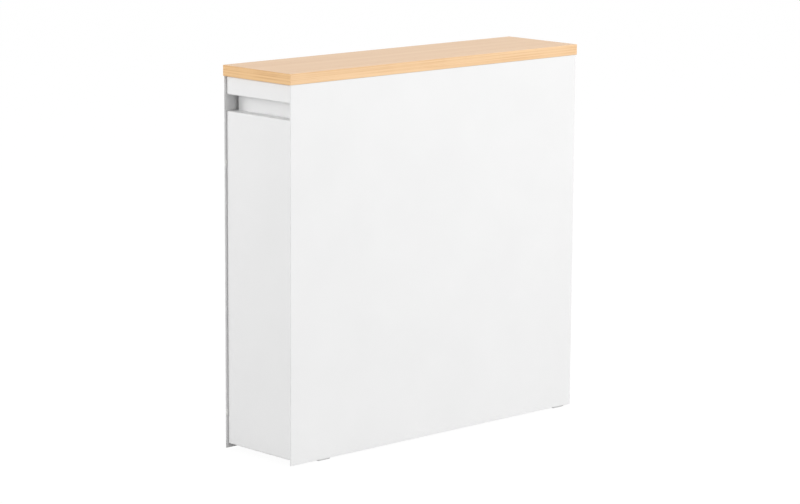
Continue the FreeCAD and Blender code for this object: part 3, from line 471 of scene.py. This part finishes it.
def pan_head_screw(head, height, shank, length):
    """A screw standing on its head: the head's top at height 0, the tip at the far end."""
    dome = [(0, 0), (0.55, 0), (0.82, 0.18), (0.97, 0.5), (1, 0.8), (0.97, 1)]
    profile = [(share * head / 2, rise * height) for share, rise in dome]
    profile.append((shank / 2, height))
    profile += threaded(shank / 2, start=height + THREAD_GAP, end=height + length - POINT_LENGTH)
    profile += [(0.6 * shank / 2, height + length), (0, height + length)]
    return cross_cut(turned_mesh("screw", profile, sides=24), width=0.55 * head, depth=0.62 * height)


def hexagon_nut(flats, thickness, bore, sides=48):
    """A nut from height 0 up, with its corners chamfered on both faces and a threaded bore."""
    shape = bmesh.new()
    rim = 0.96 * flats / 2
    chamfer_slope = math.tan(math.radians(30))
    lead_in = 0.2 * MM
    flat_turn = math.pi / 3
    half_flat = math.pi / 6
    loops = []

    def loop(points):
        loops.append([shape.verts.new(p) for p in points])

    angles = [2 * math.pi * i / sides for i in range(sides)]
    reach = [flats / 2 / math.cos((a + half_flat) % flat_turn - half_flat) for a in angles]
    fall = [(r - rim) * chamfer_slope for r in reach]
    turn = [(math.cos(a), math.sin(a)) for a in angles]
    loop((rim * c, rim * s, 0) for c, s in turn)
    loop((r * c, r * s, f) for (c, s), r, f in zip(turn, reach, fall))
    loop((r * c, r * s, thickness - f) for (c, s), r, f in zip(turn, reach, fall))
    loop((rim * c, rim * s, thickness) for c, s in turn)
    for radius, height in reversed(threaded(bore / 2 + lead_in, start=lead_in, end=thickness - lead_in)):
        loop((radius * c, radius * s, height) for c, s in turn)
    for near, far in zip(loops, loops[1:] + loops[:1]):
        for i in range(sides):
            shape.faces.new((near[i - 1], near[i], far[i], far[i - 1]))
    bmesh.ops.recalc_face_normals(shape, faces=shape.faces)
    mesh = mesh_from(shape, "nut")
    shade_round(mesh, crease=25)
    return mesh


def new_tree(name, inputs, output):
    """A geometry tree with its named inputs and its one output; gives the tree and what is given to it."""
    tree = bpy.data.node_groups.new(name, "GeometryNodeTree")
    for label, kind in inputs.items():
        tree.interface.new_socket(label, in_out="INPUT", socket_type="NodeSocket" + kind)
    tree.interface.new_socket(output, in_out="OUTPUT", socket_type="NodeSocketGeometry")
    return tree, add_node(tree, "NodeGroupInput", {}).outputs


def finish_tree(tree, made, finish, output):
    """Ends a geometry tree in plain meshes with their finish."""
    solid = add_node(tree, "GeometryNodeRealizeInstances", {"Geometry": made}).outputs[0]
    finished = add_node(tree, "GeometryNodeSetMaterial", {"Geometry": solid, "Material": finish})
    add_node(tree, "NodeGroupOutput", {output: finished.outputs[0]})


def setting_out_tree():
    """Sets a piece at every point, along the point's own axis and turned at random about it."""
    inputs = {"Spots": "Geometry", "Piece": "Object", "Finish": "Material", "Spin Seed": "Int"}
    tree, given = new_tree("setting_out", inputs, "Pieces")
    piece = add_node(tree, "GeometryNodeObjectInfo", {"Object": given["Piece"]})
    axis = add_node(tree, "GeometryNodeInputNamedAttribute", {"Name": "axis"}, data_type="FLOAT_VECTOR")
    lie = add_node(
        tree, "FunctionNodeAlignRotationToVector", {"Vector": axis.outputs["Attribute"]}, axis="Z"
    )
    # Sockets 2 and 3 are the least and the most of a plain random number.
    angle = add_node(
        tree,
        "FunctionNodeRandomValue",
        {2: 0.0, 3: 2 * math.pi, "Seed": given["Spin Seed"]},
        data_type="FLOAT",
    )
    spin = add_node(
        tree, "FunctionNodeAxisAngleToRotation", {"Axis": (0, 0, 1), "Angle": angle.outputs[1]}
    )
    turn = add_node(
        tree,
        "FunctionNodeRotateRotation",
        {"Rotation": lie.outputs[0], "Rotate By": spin.outputs[0]},
        rotation_space="LOCAL",
    )
    copies = add_node(
        tree,
        "GeometryNodeInstanceOnPoints",
        {"Points": given["Spots"], "Instance": piece.outputs["Geometry"], "Rotation": turn.outputs[0]},
    )
    finish_tree(tree, copies.outputs[0], given["Finish"], "Pieces")
    return tree


setting_out = setting_out_tree()


def run_tree(name, mesh, tree, **inputs):
    """A plain mesh from a node tree run on a mesh; each input is named with _ for a space."""
    work = work_object(name + "_work", mesh)
    maker = work.modifiers.new("maker", "NODES")
    maker.node_group = tree
    keys = {i.name: i.identifier for i in tree.interface.items_tree if i.in_out == "INPUT"}
    for label, given in inputs.items():
        maker[keys[label.replace("_", " ")]] = given
    result = evaluated_mesh(work)
    work.modifiers.remove(maker)
    bpy.data.objects.remove(work)
    return result


def set_out(node, master, axis_at, finish, body, slot, seed=1):
    """Puts a copy of the master at the start of every solid of a CAD node, along its axis."""
    spots = []
    axes = []
    for low, high in solids_of(node):
        middle = (low + high) / 2
        axis = Vector(axis_at(middle))
        reach = (high - low) / 2
        spots.append(middle - Vector([a * r for a, r in zip(axis, reach)]))
        axes.append(axis)
    points = bpy.data.meshes.new(node + "_spots")
    points.from_pydata(spots, [], [])
    ways = points.attributes.new("axis", "FLOAT_VECTOR", "POINT")
    ways.data.foreach_set("vector", [v for axis in axes for v in axis])
    model = work_object(node + "_master", master)
    mesh = run_tree(node, points, setting_out, Piece=model, Finish=finish, Spin_Seed=seed)
    bpy.data.objects.remove(model)
    make_piece(node + "_set", mesh, None, body, slot, node)


def up(middle):
    return (0, 0, 1)


foot_bolt = pan_head_screw(head=9 * MM, height=3 * MM, shank=5 * MM, length=12.4 * MM)
set_out("foot_bolts", foot_bolt, up, zinc_plate, "cabinet", "zinc_plated_steel", seed=3)
foot_nut = hexagon_nut(flats=8 * MM, thickness=3.5 * MM, bore=5 * MM)
set_out("foot_nuts", foot_nut, up, zinc_plate, "cabinet", "zinc_plated_steel", seed=4)

# The side panels: one folded sheet each, powder coated, with a flange turned in along the back edge.
# A hat-section stiffener is bonded upright to the inside, and weld studs carry the base pan and deck.
PANEL_EASE = 0.45 * MM
for side in ("right", "left"):
    eased_piece(f"{side}_side_panel", PANEL_EASE, powder_coat, "cabinet", "white_coated_steel")
    eased_piece(f"{side}_panel_stiffener", SHEET_EASE, zinc_plate, "cabinet", "zinc_plated_steel")


def inwards(middle):
    return (-1, 0, 0) if middle.x > 0 else (1, 0, 0)


def outwards(middle):
    return (1, 0, 0) if middle.x > 0 else (-1, 0, 0)


stud_radius = 2 * MM
stud_length = 5.3 * MM
stud_tip = 1.5 * MM
stud_profile = [(0, 0), (stud_radius, 0)]
stud_profile += threaded(stud_radius, start=0.2 * MM, end=stud_length - 0.3 * MM)
stud_profile += [(stud_tip, stud_length), (0, stud_length)]
weld_stud = turned_mesh("weld_stud", stud_profile, sides=24)
for side in ("right", "left"):
    set_out(f"{side}_panel_studs", weld_stud, inwards, zinc_plate, "cabinet", "zinc_plated_steel")
stud_nut = hexagon_nut(flats=7 * MM, thickness=2.2 * MM, bore=4 * MM)
set_out("stud_nuts", stud_nut, inwards, zinc_plate, "cabinet", "zinc_plated_steel", seed=6)

# The back panel: a shallow coated tray inside the side panels' flanges, held by countersunk screws
# that run into round clinch nuts pressed in its edges.
eased_piece("back_panel", SHEET_EASE, powder_coat, "cabinet", "white_coated_steel")


def forwards(middle):
    return (0, -1, 0)


csk_head_radius = 4 * MM
csk_rim = 0.15 * MM
csk_depth = 2 * MM
csk_shank_radius = 2 * MM
csk_length = 8 * MM
csk_tip = 1.2 * MM
csk_profile = [(0, 0), (csk_head_radius, 0), (csk_head_radius, csk_rim), (csk_shank_radius, csk_depth)]
csk_profile += threaded(csk_shank_radius, start=csk_depth + THREAD_GAP, end=csk_length - POINT_LENGTH)
csk_profile += [(csk_tip, csk_length), (0, csk_length)]
csk_screw = cross_cut(turned_mesh("csk_screw", csk_profile), width=4.4 * MM, depth=1.4 * MM)
set_out("back_panel_screws", csk_screw, forwards, zinc_plate, "cabinet", "zinc_plated_steel", seed=8)
clinch_profile = millimetres([(2.1, 0), (4, 0), (4, 2.6), (3.6, 3), (2.4, 3)])
clinch_profile += reversed(threaded(2.25 * MM, start=0.3 * MM, end=2.7 * MM))
clinch_nut = turned_mesh("clinch_nut", clinch_profile, ring=True)
set_out("clinch_nuts", clinch_nut, forwards, zinc_plate, "cabinet", "zinc_plated_steel", seed=9)

# The top deck and the wooden top: a coated channel turned down between the side panels, and on it a
# board faced and edged with light oak, oiled matt, screwed on from below.
eased_piece("top_deck", SHEET_EASE, powder_coat, "cabinet", "white_coated_steel")

# Each face of the board carries a number: 0 on the wide faces, and these on the edges. It sets how
# deep the grain lines show and the tone painted on the face for the light on it.
LONG_EDGE = 0.6
END_EDGE = 1.0
BOARD_EASE = 1.0 * MM
# The board's tones are painted per face for the light on it: the top's are paler and bluer, a painted
# sheen, the long edges get a warmer painted light and the ends a deeper painted shade.
oak_light = paint(241, 210, 178)
oak_shade = paint(233, 199, 165)
oak_long_edge_painted_light = paint(246, 202, 143)
oak_line = paint(206, 153, 96)
oak_end_painted_shade = paint(239, 190, 121)
oak_pore = paint(186, 138, 90)
oak, tree, shader = new_material("oiled_oak", oak_light)
grain_places = add_node(tree, "ShaderNodeUVMap", {}, uv_map="grain").outputs["UV"]
grain_and_painted_light_by_face = add_node(tree, "ShaderNodeAttribute", {}, attribute_name="face_grain_and_painted_light").outputs["Fac"]


def streaks(tree, along, across, detail):
    """Noise drawn out along the grain, of so many waves in a metre along it and across it."""
    drawn = add_node(tree, "ShaderNodeMapping", {"Vector": grain_places, "Scale": (along, across, 1.0)})
    return grain(tree, drawn.outputs["Vector"], 1.0, detail)


def lay_over(tree, share, under, over):
    """One colour laid over another by a share from 0 to 1; sockets 6, 7 and 2 are the colours'."""
    mixed = add_node(tree, "ShaderNodeMix", {0: share, 6: under, 7: (*over, 1.0)}, data_type="RGBA")
    return mixed.outputs[2]


def pick(tree, share, low, high, most):
    """How far a share lies between two levels, up to the most."""
    levels = {"Value": share, "From Min": low, "From Max": high, "To Max": most}
    return add_node(tree, "ShaderNodeMapRange", levels).outputs["Result"]


broad_bands = streaks(tree, along=1.2, across=45, detail=3.0)
patches = streaks(tree, along=16, across=6, detail=1.0)
fine_lines = streaks(tree, along=2.5, across=470, detail=1.0)
pores = streaks(tree, along=70, across=1700, detail=2.0)
gloss_bands = streaks(tree, along=4, across=160, detail=2.0)
long_edge_painted_light_share = pick(tree, grain_and_painted_light_by_face, low=0.0, high=LONG_EDGE, most=0.5)
end_painted_shade_share = pick(tree, grain_and_painted_light_by_face, low=LONG_EDGE, high=END_EDGE, most=0.5)
line_depth = spread(tree, grain_and_painted_light_by_face, low=0.12, high=0.5)
patch_share = spread(tree, pick(tree, patches, low=0.3, high=0.62, most=1.0), low=0.35, high=1.0)
line_share = work_out(tree, "MULTIPLY", pick(tree, fine_lines, low=0.44, high=0.6, most=1.0), line_depth)
line_share = work_out(tree, "MULTIPLY", line_share, patch_share)
pore_share = pick(tree, pores, low=0.66, high=0.74, most=0.35)
# The long edges get their painted light and the ends their painted shade over the oak's bands.
board_tone = blend_colours(tree, broad_bands, oak_shade, oak_light)
board_tone = lay_over(tree, long_edge_painted_light_share, board_tone, oak_long_edge_painted_light)
board_tone = lay_over(tree, end_painted_shade_share, board_tone, oak_end_painted_shade)
board_tone = lay_over(tree, line_share, board_tone, oak_line)
board_tone = lay_over(tree, pore_share, board_tone, oak_pore)
tree.links.new(board_tone, shader.inputs["Base Color"])
tree.links.new(spread(tree, gloss_bands, low=0.52, high=0.64), shader.inputs["Roughness"])
raise_surface(tree, shader, work_out(tree, "SUBTRACT", 1.0, pore_share), depth=0.15 * MM, strength=0.35)

# On the ends the grain runs across, from another stretch of the same oak.
wide_face_lean = 0.7
end_grain_start = 3.0
end_grain_tilt = 0.1
board_low, board_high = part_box("wooden_top")
shape = bmesh.new()
bmesh.ops.create_cube(shape, size=1.0)
for vert in shape.verts:
    vert.co = [low + (v + 0.5) * (high - low) for v, low, high in zip(vert.co, board_low, board_high)]
bmesh.ops.bevel(
    shape,
    geom=shape.edges[:],
    offset=BOARD_EASE,
    segments=4,
    profile=0.5,
    affect="EDGES",
    clamp_overlap=True,
)
grain_map = shape.loops.layers.uv.new("grain")
# Each face's number sets its grain depth and the tone painted on it for its light.
face_grain_and_painted_light = shape.faces.layers.float.new("face_grain_and_painted_light")
for face in shape.faces:
    across, along, upward = [abs(v) for v in face.normal]
    if upward > wide_face_lean:
        face[face_grain_and_painted_light] = 0.0
    elif across > along:
        face[face_grain_and_painted_light] = LONG_EDGE
    else:
        face[face_grain_and_painted_light] = END_EDGE
    for corner in face.loops:
        x, y, z = corner.vert.co
        if along > max(across, upward):
            corner[grain_map].uv = (x + end_grain_start, z + y * end_grain_tilt)
        elif across > upward:
            corner[grain_map].uv = (y, z + x)
        else:
            corner[grain_map].uv = (y, x)
board_mesh = evenly_shaded(work_object("board_work", mesh_from(shape, "oak_board")))
make_piece("oak_board", board_mesh, oak, "cabinet", "oak", "wooden_top")


def small_screw(length):
    """A 4 mm pan-head screw, so long under its head."""
    return pan_head_screw(head=8 * MM, height=2.2 * MM, shank=4 * MM, length=length)


board_screw = small_screw(15 * MM)
set_out("board_screws", board_screw, up, zinc_plate, "cabinet", "zinc_plated_steel", seed=12)

# The slides: three nested channels of zinc-plated steel on each side, roll formed. The outer one is
# clamped to the base pan by the stud nuts, the inner one is screwed to the tray.
SLIDE_EASE = 0.12 * MM
for side in ("right", "left"):
    eased_piece(f"{side}_slide_outer", SLIDE_EASE, zinc_plate, "cabinet", "zinc_plated_steel")
    eased_piece(f"{side}_slide_middle", SLIDE_EASE, zinc_plate, "slide_middles", "zinc_plated_steel")
    eased_piece(f"{side}_slide_inner", SLIDE_EASE, zinc_plate, "pull_out", "zinc_plated_steel")
tray_screw = small_screw(6 * MM)
set_out("slide_screws", tray_screw, outwards, zinc_plate, "pull_out", "zinc_plated_steel", seed=14)

# Balls and ball retainers: polished steel balls run between the slide members, and pierced strips
# of sheet keep them apart.
BALL_RADIUS = 2 * MM
BALL_RINGS = 9
RETAINER_EASE = 0.1 * MM
ball_steel, tree, shader = new_material("polished_steel", paint(214, 215, 217), metallic=1.0)
place = own_places(tree)
rough = spread(tree, grain(tree, place, waves=900, detail=4.0), low=0.06, high=0.2)
tree.links.new(rough, shader.inputs["Roughness"])
raise_surface(tree, shader, grain(tree, place, waves=2500, detail=3.0), depth=0.005 * MM, strength=0.3)
ball_angles = [math.pi * i / BALL_RINGS for i in range(1, BALL_RINGS)]
ball_profile = [(BALL_RADIUS * math.sin(a), BALL_RADIUS * (1 - math.cos(a))) for a in ball_angles]
ball_profile = [(0, 0)] + ball_profile + [(0, 2 * BALL_RADIUS)]
ball = turned_mesh("ball", ball_profile, sides=16)
for stage in ("outer", "inner"):
    cages = f"{stage}_cages"
    set_out(f"{stage}_balls", ball, up, ball_steel, cages, "bearing_steel")
    eased_piece(f"{stage}_ball_retainers", RETAINER_EASE, zinc_plate, cages, "zinc_plated_steel", steps=1)

# The upper guide: a slotted steel rail under the deck, and a white nylon roller that runs in it on a
# plated pin riveted to the pull-out's top beam.
eased_piece("guide_rail", SHEET_EASE, zinc_plate, "cabinet", "zinc_plated_steel")
white_nylon = grained_finish(
    "white_nylon",
    light=paint(243, 243, 241),
    shade=paint(236, 236, 233),
    tone_waves=220,
    roughness=(0.34, 0.48),
    roughness_waves=400,
    bump_waves=2200,
    bump_depth=0.02 * MM,
    bump_strength=0.3,
)
roller_profile = [
    (2.55, 0.4), (3.6, 0.4), (4.2, 0.0), (7.2, 0.0), (7.8, 0.25), (8.0, 0.8), (8.0, 7.2), (7.8, 7.75),
    (7.2, 8.0), (4.2, 8.0), (3.6, 7.6), (2.55, 7.6),
]
roller = turned_mesh("roller", millimetres(roller_profile), sides=64, ring=True)
set_out("guide_roller", roller, up, white_nylon, "guide_roller", "white_nylon")
pin_profile = [
    (0, 0), (2.3, 0), (2.5, 0.2), (2.5, 1.5), (3.3, 1.5), (3.5, 1.7), (3.5, 8.5), (3.3, 8.7), (2.5, 8.7),
    (2.5, 17.3), (3.6, 17.3), (4.0, 17.7), (4.0, 18.6), (3.4, 19.1), (0, 19.3),
]
pin = turned_mesh("guide_pin", millimetres(pin_profile), sides=40)
set_out("guide_pin", pin, up, zinc_plate, "pull_out", "zinc_plated_steel")

# The pull-out's own sheet work: front panel with its ledge, fascia, inner front panel, tray, rear
# panel and top beam, all folded steel, spot welded or screwed, and powder coated white. The rear
# panel's holes come close to its bends, so its edges are rounded less.
REAR_PANEL_EASE = 0.15 * MM
for node in ("front_panel", "front_fascia", "front_inner_panel", "bottom_tray", "top_beam"):
    eased_piece(node, SHEET_EASE, powder_coat, "pull_out", "white_coated_steel")
eased_piece("rear_panel", REAR_PANEL_EASE, powder_coat, "pull_out", "white_coated_steel")


def to_the_ends(middle):
    return (0, 1, 0) if middle.y > 0 else (0, -1, 0)


set_out("tray_screws", tray_screw, to_the_ends, zinc_plate, "pull_out", "zinc_plated_steel", seed=17)
beam_screw = small_screw(2.7 * MM)
set_out("beam_screws", beam_screw, to_the_ends, zinc_plate, "pull_out", "zinc_plated_steel", seed=18)

# The shelves: two coated trays that rest on turned pins pushed into the end panels, each with a
# bright drawn rod along both sides as a guard rail.
for node in ("middle_shelf", "upper_shelf"):
    eased_piece(node, SHEET_EASE, powder_coat, "pull_out", "white_coated_steel")


def towards_middle(middle):
    return (0, -1, 0) if middle.y > 0 else (0, 1, 0)


shelf_pin_profile = [
    (0, 0), (2.2, 0), (2.5, 0.3), (2.5, 1.2), (3.8, 1.2), (4.0, 1.4), (4.0, 2.5), (3.8, 2.7), (2.5, 2.7),
    (2.5, 9.4), (2.2, 10.0), (1.5, 10.2), (0, 10.2),
]
shelf_pin = turned_mesh("shelf_pin", millimetres(shelf_pin_profile))
set_out("shelf_pins", shelf_pin, towards_middle, zinc_plate, "pull_out", "zinc_plated_steel")
draw_marks = (900.0, 12.0, 900.0)
bright_rod, tree, shader = new_material("bright_rod", paint(178, 180, 183), metallic=1.0)
drawn = add_node(tree, "ShaderNodeMapping", {"Vector": own_places(tree), "Scale": draw_marks})
marks = grain(tree, drawn.outputs["Vector"], 1.0, detail=3.0)
tree.links.new(spread(tree, marks, low=0.25, high=0.38), shader.inputs["Roughness"])
raise_surface(tree, shader, marks, depth=0.01 * MM, strength=0.25)


def backwards(middle):
    return (0, 1, 0)


rod_low, rod_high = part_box("guard_rails")
rod_length = rod_high.y - rod_low.y
rod_profile = millimetres([(0, 0), (1.9, 0), (2.3, 0.2), (2.5, 0.6)])
rod_profile += [(r, rod_length - z) for r, z in reversed(rod_profile)]
guard_rod = turned_mesh("guard_rod", rod_profile)
set_out("guard_rails", guard_rod, backwards, bright_rod, "pull_out", "polished_rod")

# The mats: soft grey rubber with rounded ribs across the pull-out, moulded in sheets. They are cut to
# lie loose in the tray and on the shelves.
grey_mat = grained_finish(
    "grey_mat",
    light=paint(150, 152, 154),
    shade=paint(132, 134, 137),
    tone_waves=120,
    tone_detail=4.0,
    roughness=(0.7, 0.9),
    roughness_waves=500,
    bump_waves=2600,
    bump_detail=3.0,
    bump_depth=0.08 * MM,
    bump_strength=0.5,
)


def ribbed_mat_tree():
    """A flat slab whose top rises in rounded ribs at an even pitch along Y."""
    inputs = {
        "Geometry": "Geometry",
        "Width": "Float",
        "Length": "Float",
        "Centre": "Vector",
        "Thickness": "Float",
        "Rib Height": "Float",
        "Rib Pitch": "Float",
        "Steps": "Int",
        "Finish": "Material",
    }
    tree, given = new_tree("ribbed_mat", inputs, "Mat")
    sheet = add_node(
        tree,
        "GeometryNodeMeshGrid",
        {
            "Size X": given["Width"],
            "Size Y": given["Length"],
            "Vertices X": 3,
            "Vertices Y": given["Steps"],
        },
    ).outputs["Mesh"]
    under = add_node(tree, "GeometryNodeFlipFaces", {"Mesh": sheet}).outputs[0]
    lift = add_node(tree, "ShaderNodeCombineXYZ", {"Z": given["Thickness"]}).outputs[0]
    raised = add_node(
        tree,
        "GeometryNodeExtrudeMesh",
        {"Mesh": sheet, "Offset": lift, "Offset Scale": 1.0, "Individual": False},
        mode="FACES",
    )
    point = add_node(tree, "GeometryNodeInputPosition", {}).outputs[0]
    depth = add_node(tree, "ShaderNodeSeparateXYZ", {"Vector": point}).outputs["Y"]
    ribs_from_middle = work_out(tree, "DIVIDE", depth, given["Rib Pitch"])
    wave = work_out(tree, "COSINE", work_out(tree, "MULTIPLY", ribs_from_middle, math.pi))
    below_crest = work_out(tree, "SUBTRACT", work_out(tree, "ABSOLUTE", wave), 1.0)
    drop = work_out(tree, "MULTIPLY", below_crest, given["Rib Height"])
    fall = add_node(tree, "ShaderNodeCombineXYZ", {"Z": drop}).outputs[0]
    ribbed = add_node(
        tree,
        "GeometryNodeSetPosition",
        {"Geometry": raised.outputs["Mesh"], "Selection": raised.outputs["Top"], "Offset": fall},
    ).outputs[0]
    both = add_node(tree, "GeometryNodeJoinGeometry", {})
    for part in (under, ribbed):
        tree.links.new(part, both.inputs[0])
    closed = add_node(
        tree, "GeometryNodeMergeByDistance", {"Geometry": both.outputs[0], "Distance": SAME_PLACE}
    )
    seated = add_node(
        tree, "GeometryNodeTransform", {"Geometry": closed.outputs[0], "Translation": given["Centre"]}
    )
    finish_tree(tree, seated.outputs[0], given["Finish"], "Mat")
    return tree


ribbed_mat = ribbed_mat_tree()
rib_height = 0.8 * MM
rib_pitch = 6 * MM
rib_steps = 8
for node in ("bottom_mat", "middle_mat", "upper_mat"):
    low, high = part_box(node)
    mat_mesh = run_tree(
        node,
        bpy.data.meshes.new(node + "_seed"),
        ribbed_mat,
        Width=high.x - low.x,
        Length=high.y - low.y,
        Centre=Vector(((low.x + high.x) / 2, (low.y + high.y) / 2, low.z)),
        Thickness=high.z - low.z,
        Rib_Height=rib_height,
        Rib_Pitch=rib_pitch,
        Steps=round((high.y - low.y) / rib_pitch) * rib_steps + 1,
        Finish=grey_mat,
    )
    shade_round(mat_mesh, crease=50)
    make_piece(node + "_ribbed", mat_mesh, None, "pull_out", "grey_mat", node)

# The catch, strike and buffers: a white moulded magnet catch with two steel poles, riveted to the
# back panel, a plated strike plate on the pull-out, and two black rubber buffers that end the travel.
CATCH_EASE = 0.8 * MM
POLE_EASE = 0.1 * MM
eased_piece("magnet_catch", CATCH_EASE, white_nylon, "cabinet", "white_nylon", steps=3)
catch_low, catch_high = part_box("magnet_catch")
catch_middle = (catch_low + catch_high) / 2
pole_width = 18 * MM
pole_thickness = 1.2 * MM
pole_sunk = 1.0 * MM
pole_stand = 0.15 * MM
pole_offset = 2.5 * MM
pole_size = Vector((pole_width, pole_sunk + pole_stand, pole_thickness))
shape = bmesh.new()
for height in (-pole_offset, pole_offset):
    spot = Vector((catch_middle.x, catch_low.y - pole_stand + pole_size.y / 2, catch_middle.z + height))
    place = Matrix.Translation(spot) @ Matrix.Diagonal((*pole_size, 1.0))
    bmesh.ops.create_cube(shape, size=1.0, matrix=place)
bmesh.ops.bevel(shape, geom=shape.edges[:], offset=POLE_EASE, segments=2, profile=0.5, affect="EDGES")
make_piece("catch_poles", mesh_from(shape, "catch_poles"), zinc_plate, "cabinet", "zinc_plated_steel")
eased_piece("strike_plate", SHEET_EASE, zinc_plate, "pull_out", "zinc_plated_steel")


def domed_rivet(length):
    """A rivet from the top of its dome to the end of its shank, so many millimetres long."""
    dome = [(0, 0), (1.2, 0.05), (2.1, 0.25), (2.65, 0.55), (2.75, 0.8), (1.5, 0.8)]
    return turned_mesh("rivet", millimetres(dome + [(1.4, length), (0, length)]))


set_out("strike_rivets", domed_rivet(3.5), backwards, zinc_plate, "pull_out", "zinc_plated_steel")
set_out("catch_rivets", domed_rivet(9.3), forwards, zinc_plate, "cabinet", "zinc_plated_steel")
black_rubber = grained_finish(
    "black_rubber",
    light=paint(58, 58, 58),
    shade=paint(40, 40, 41),
    tone_waves=300,
    tone_detail=4.0,
    roughness=(0.6, 0.8),
    roughness_waves=500,
    bump_waves=2400,
    bump_depth=0.06 * MM,
    bump_strength=0.4,
)
buffer_profile = [
    (0, 0), (2.2, 0), (2.5, 0.2), (2.5, 1.5), (5.6, 1.5), (6.0, 1.9), (5.8, 7.4), (5.2, 9.4), (4.2, 10.2),
    (0, 10.2),
]
buffer = turned_mesh("buffer", millimetres(buffer_profile), sides=40)
set_out("stop_buffers", buffer, forwards, black_rubber, "cabinet", "dark_rubber")

# Guide pads: small white nylon pads that centre the pull-out as it closes, bonded to the side panels'
# inner faces at the front edge, where the front panel ends up just behind them.
PAD_LEAD_IN = 1.05 * MM
PAD_EASE = 0.12 * MM
shape = bmesh.new()
leading = []
for low, high in solids_of("front_guide_pads"):
    middle = (low + high) / 2
    place = Matrix.Translation(middle) @ Matrix.Diagonal((*(high - low), 1.0))
    corners = bmesh.ops.create_cube(shape, size=1.0, matrix=place)["verts"]
    # The upright edge at the front, on the side away from the panel, is rounded as a lead-in.
    in_front = [c for c in corners if c.co.y < middle.y and abs(c.co.x) < abs(middle.x)]
    leading += [edge for edge in in_front[0].link_edges if edge.other_vert(in_front[0]) in in_front]
bmesh.ops.bevel(shape, geom=leading, offset=PAD_LEAD_IN, segments=6, profile=0.5, affect="EDGES")
pad_mesh = eased_mesh(mesh_from(shape, "guide_pads"), PAD_EASE, steps=2)
make_piece("front_guide_pads_eased", pad_mesh, white_nylon, "cabinet", "white_nylon", "front_guide_pads")
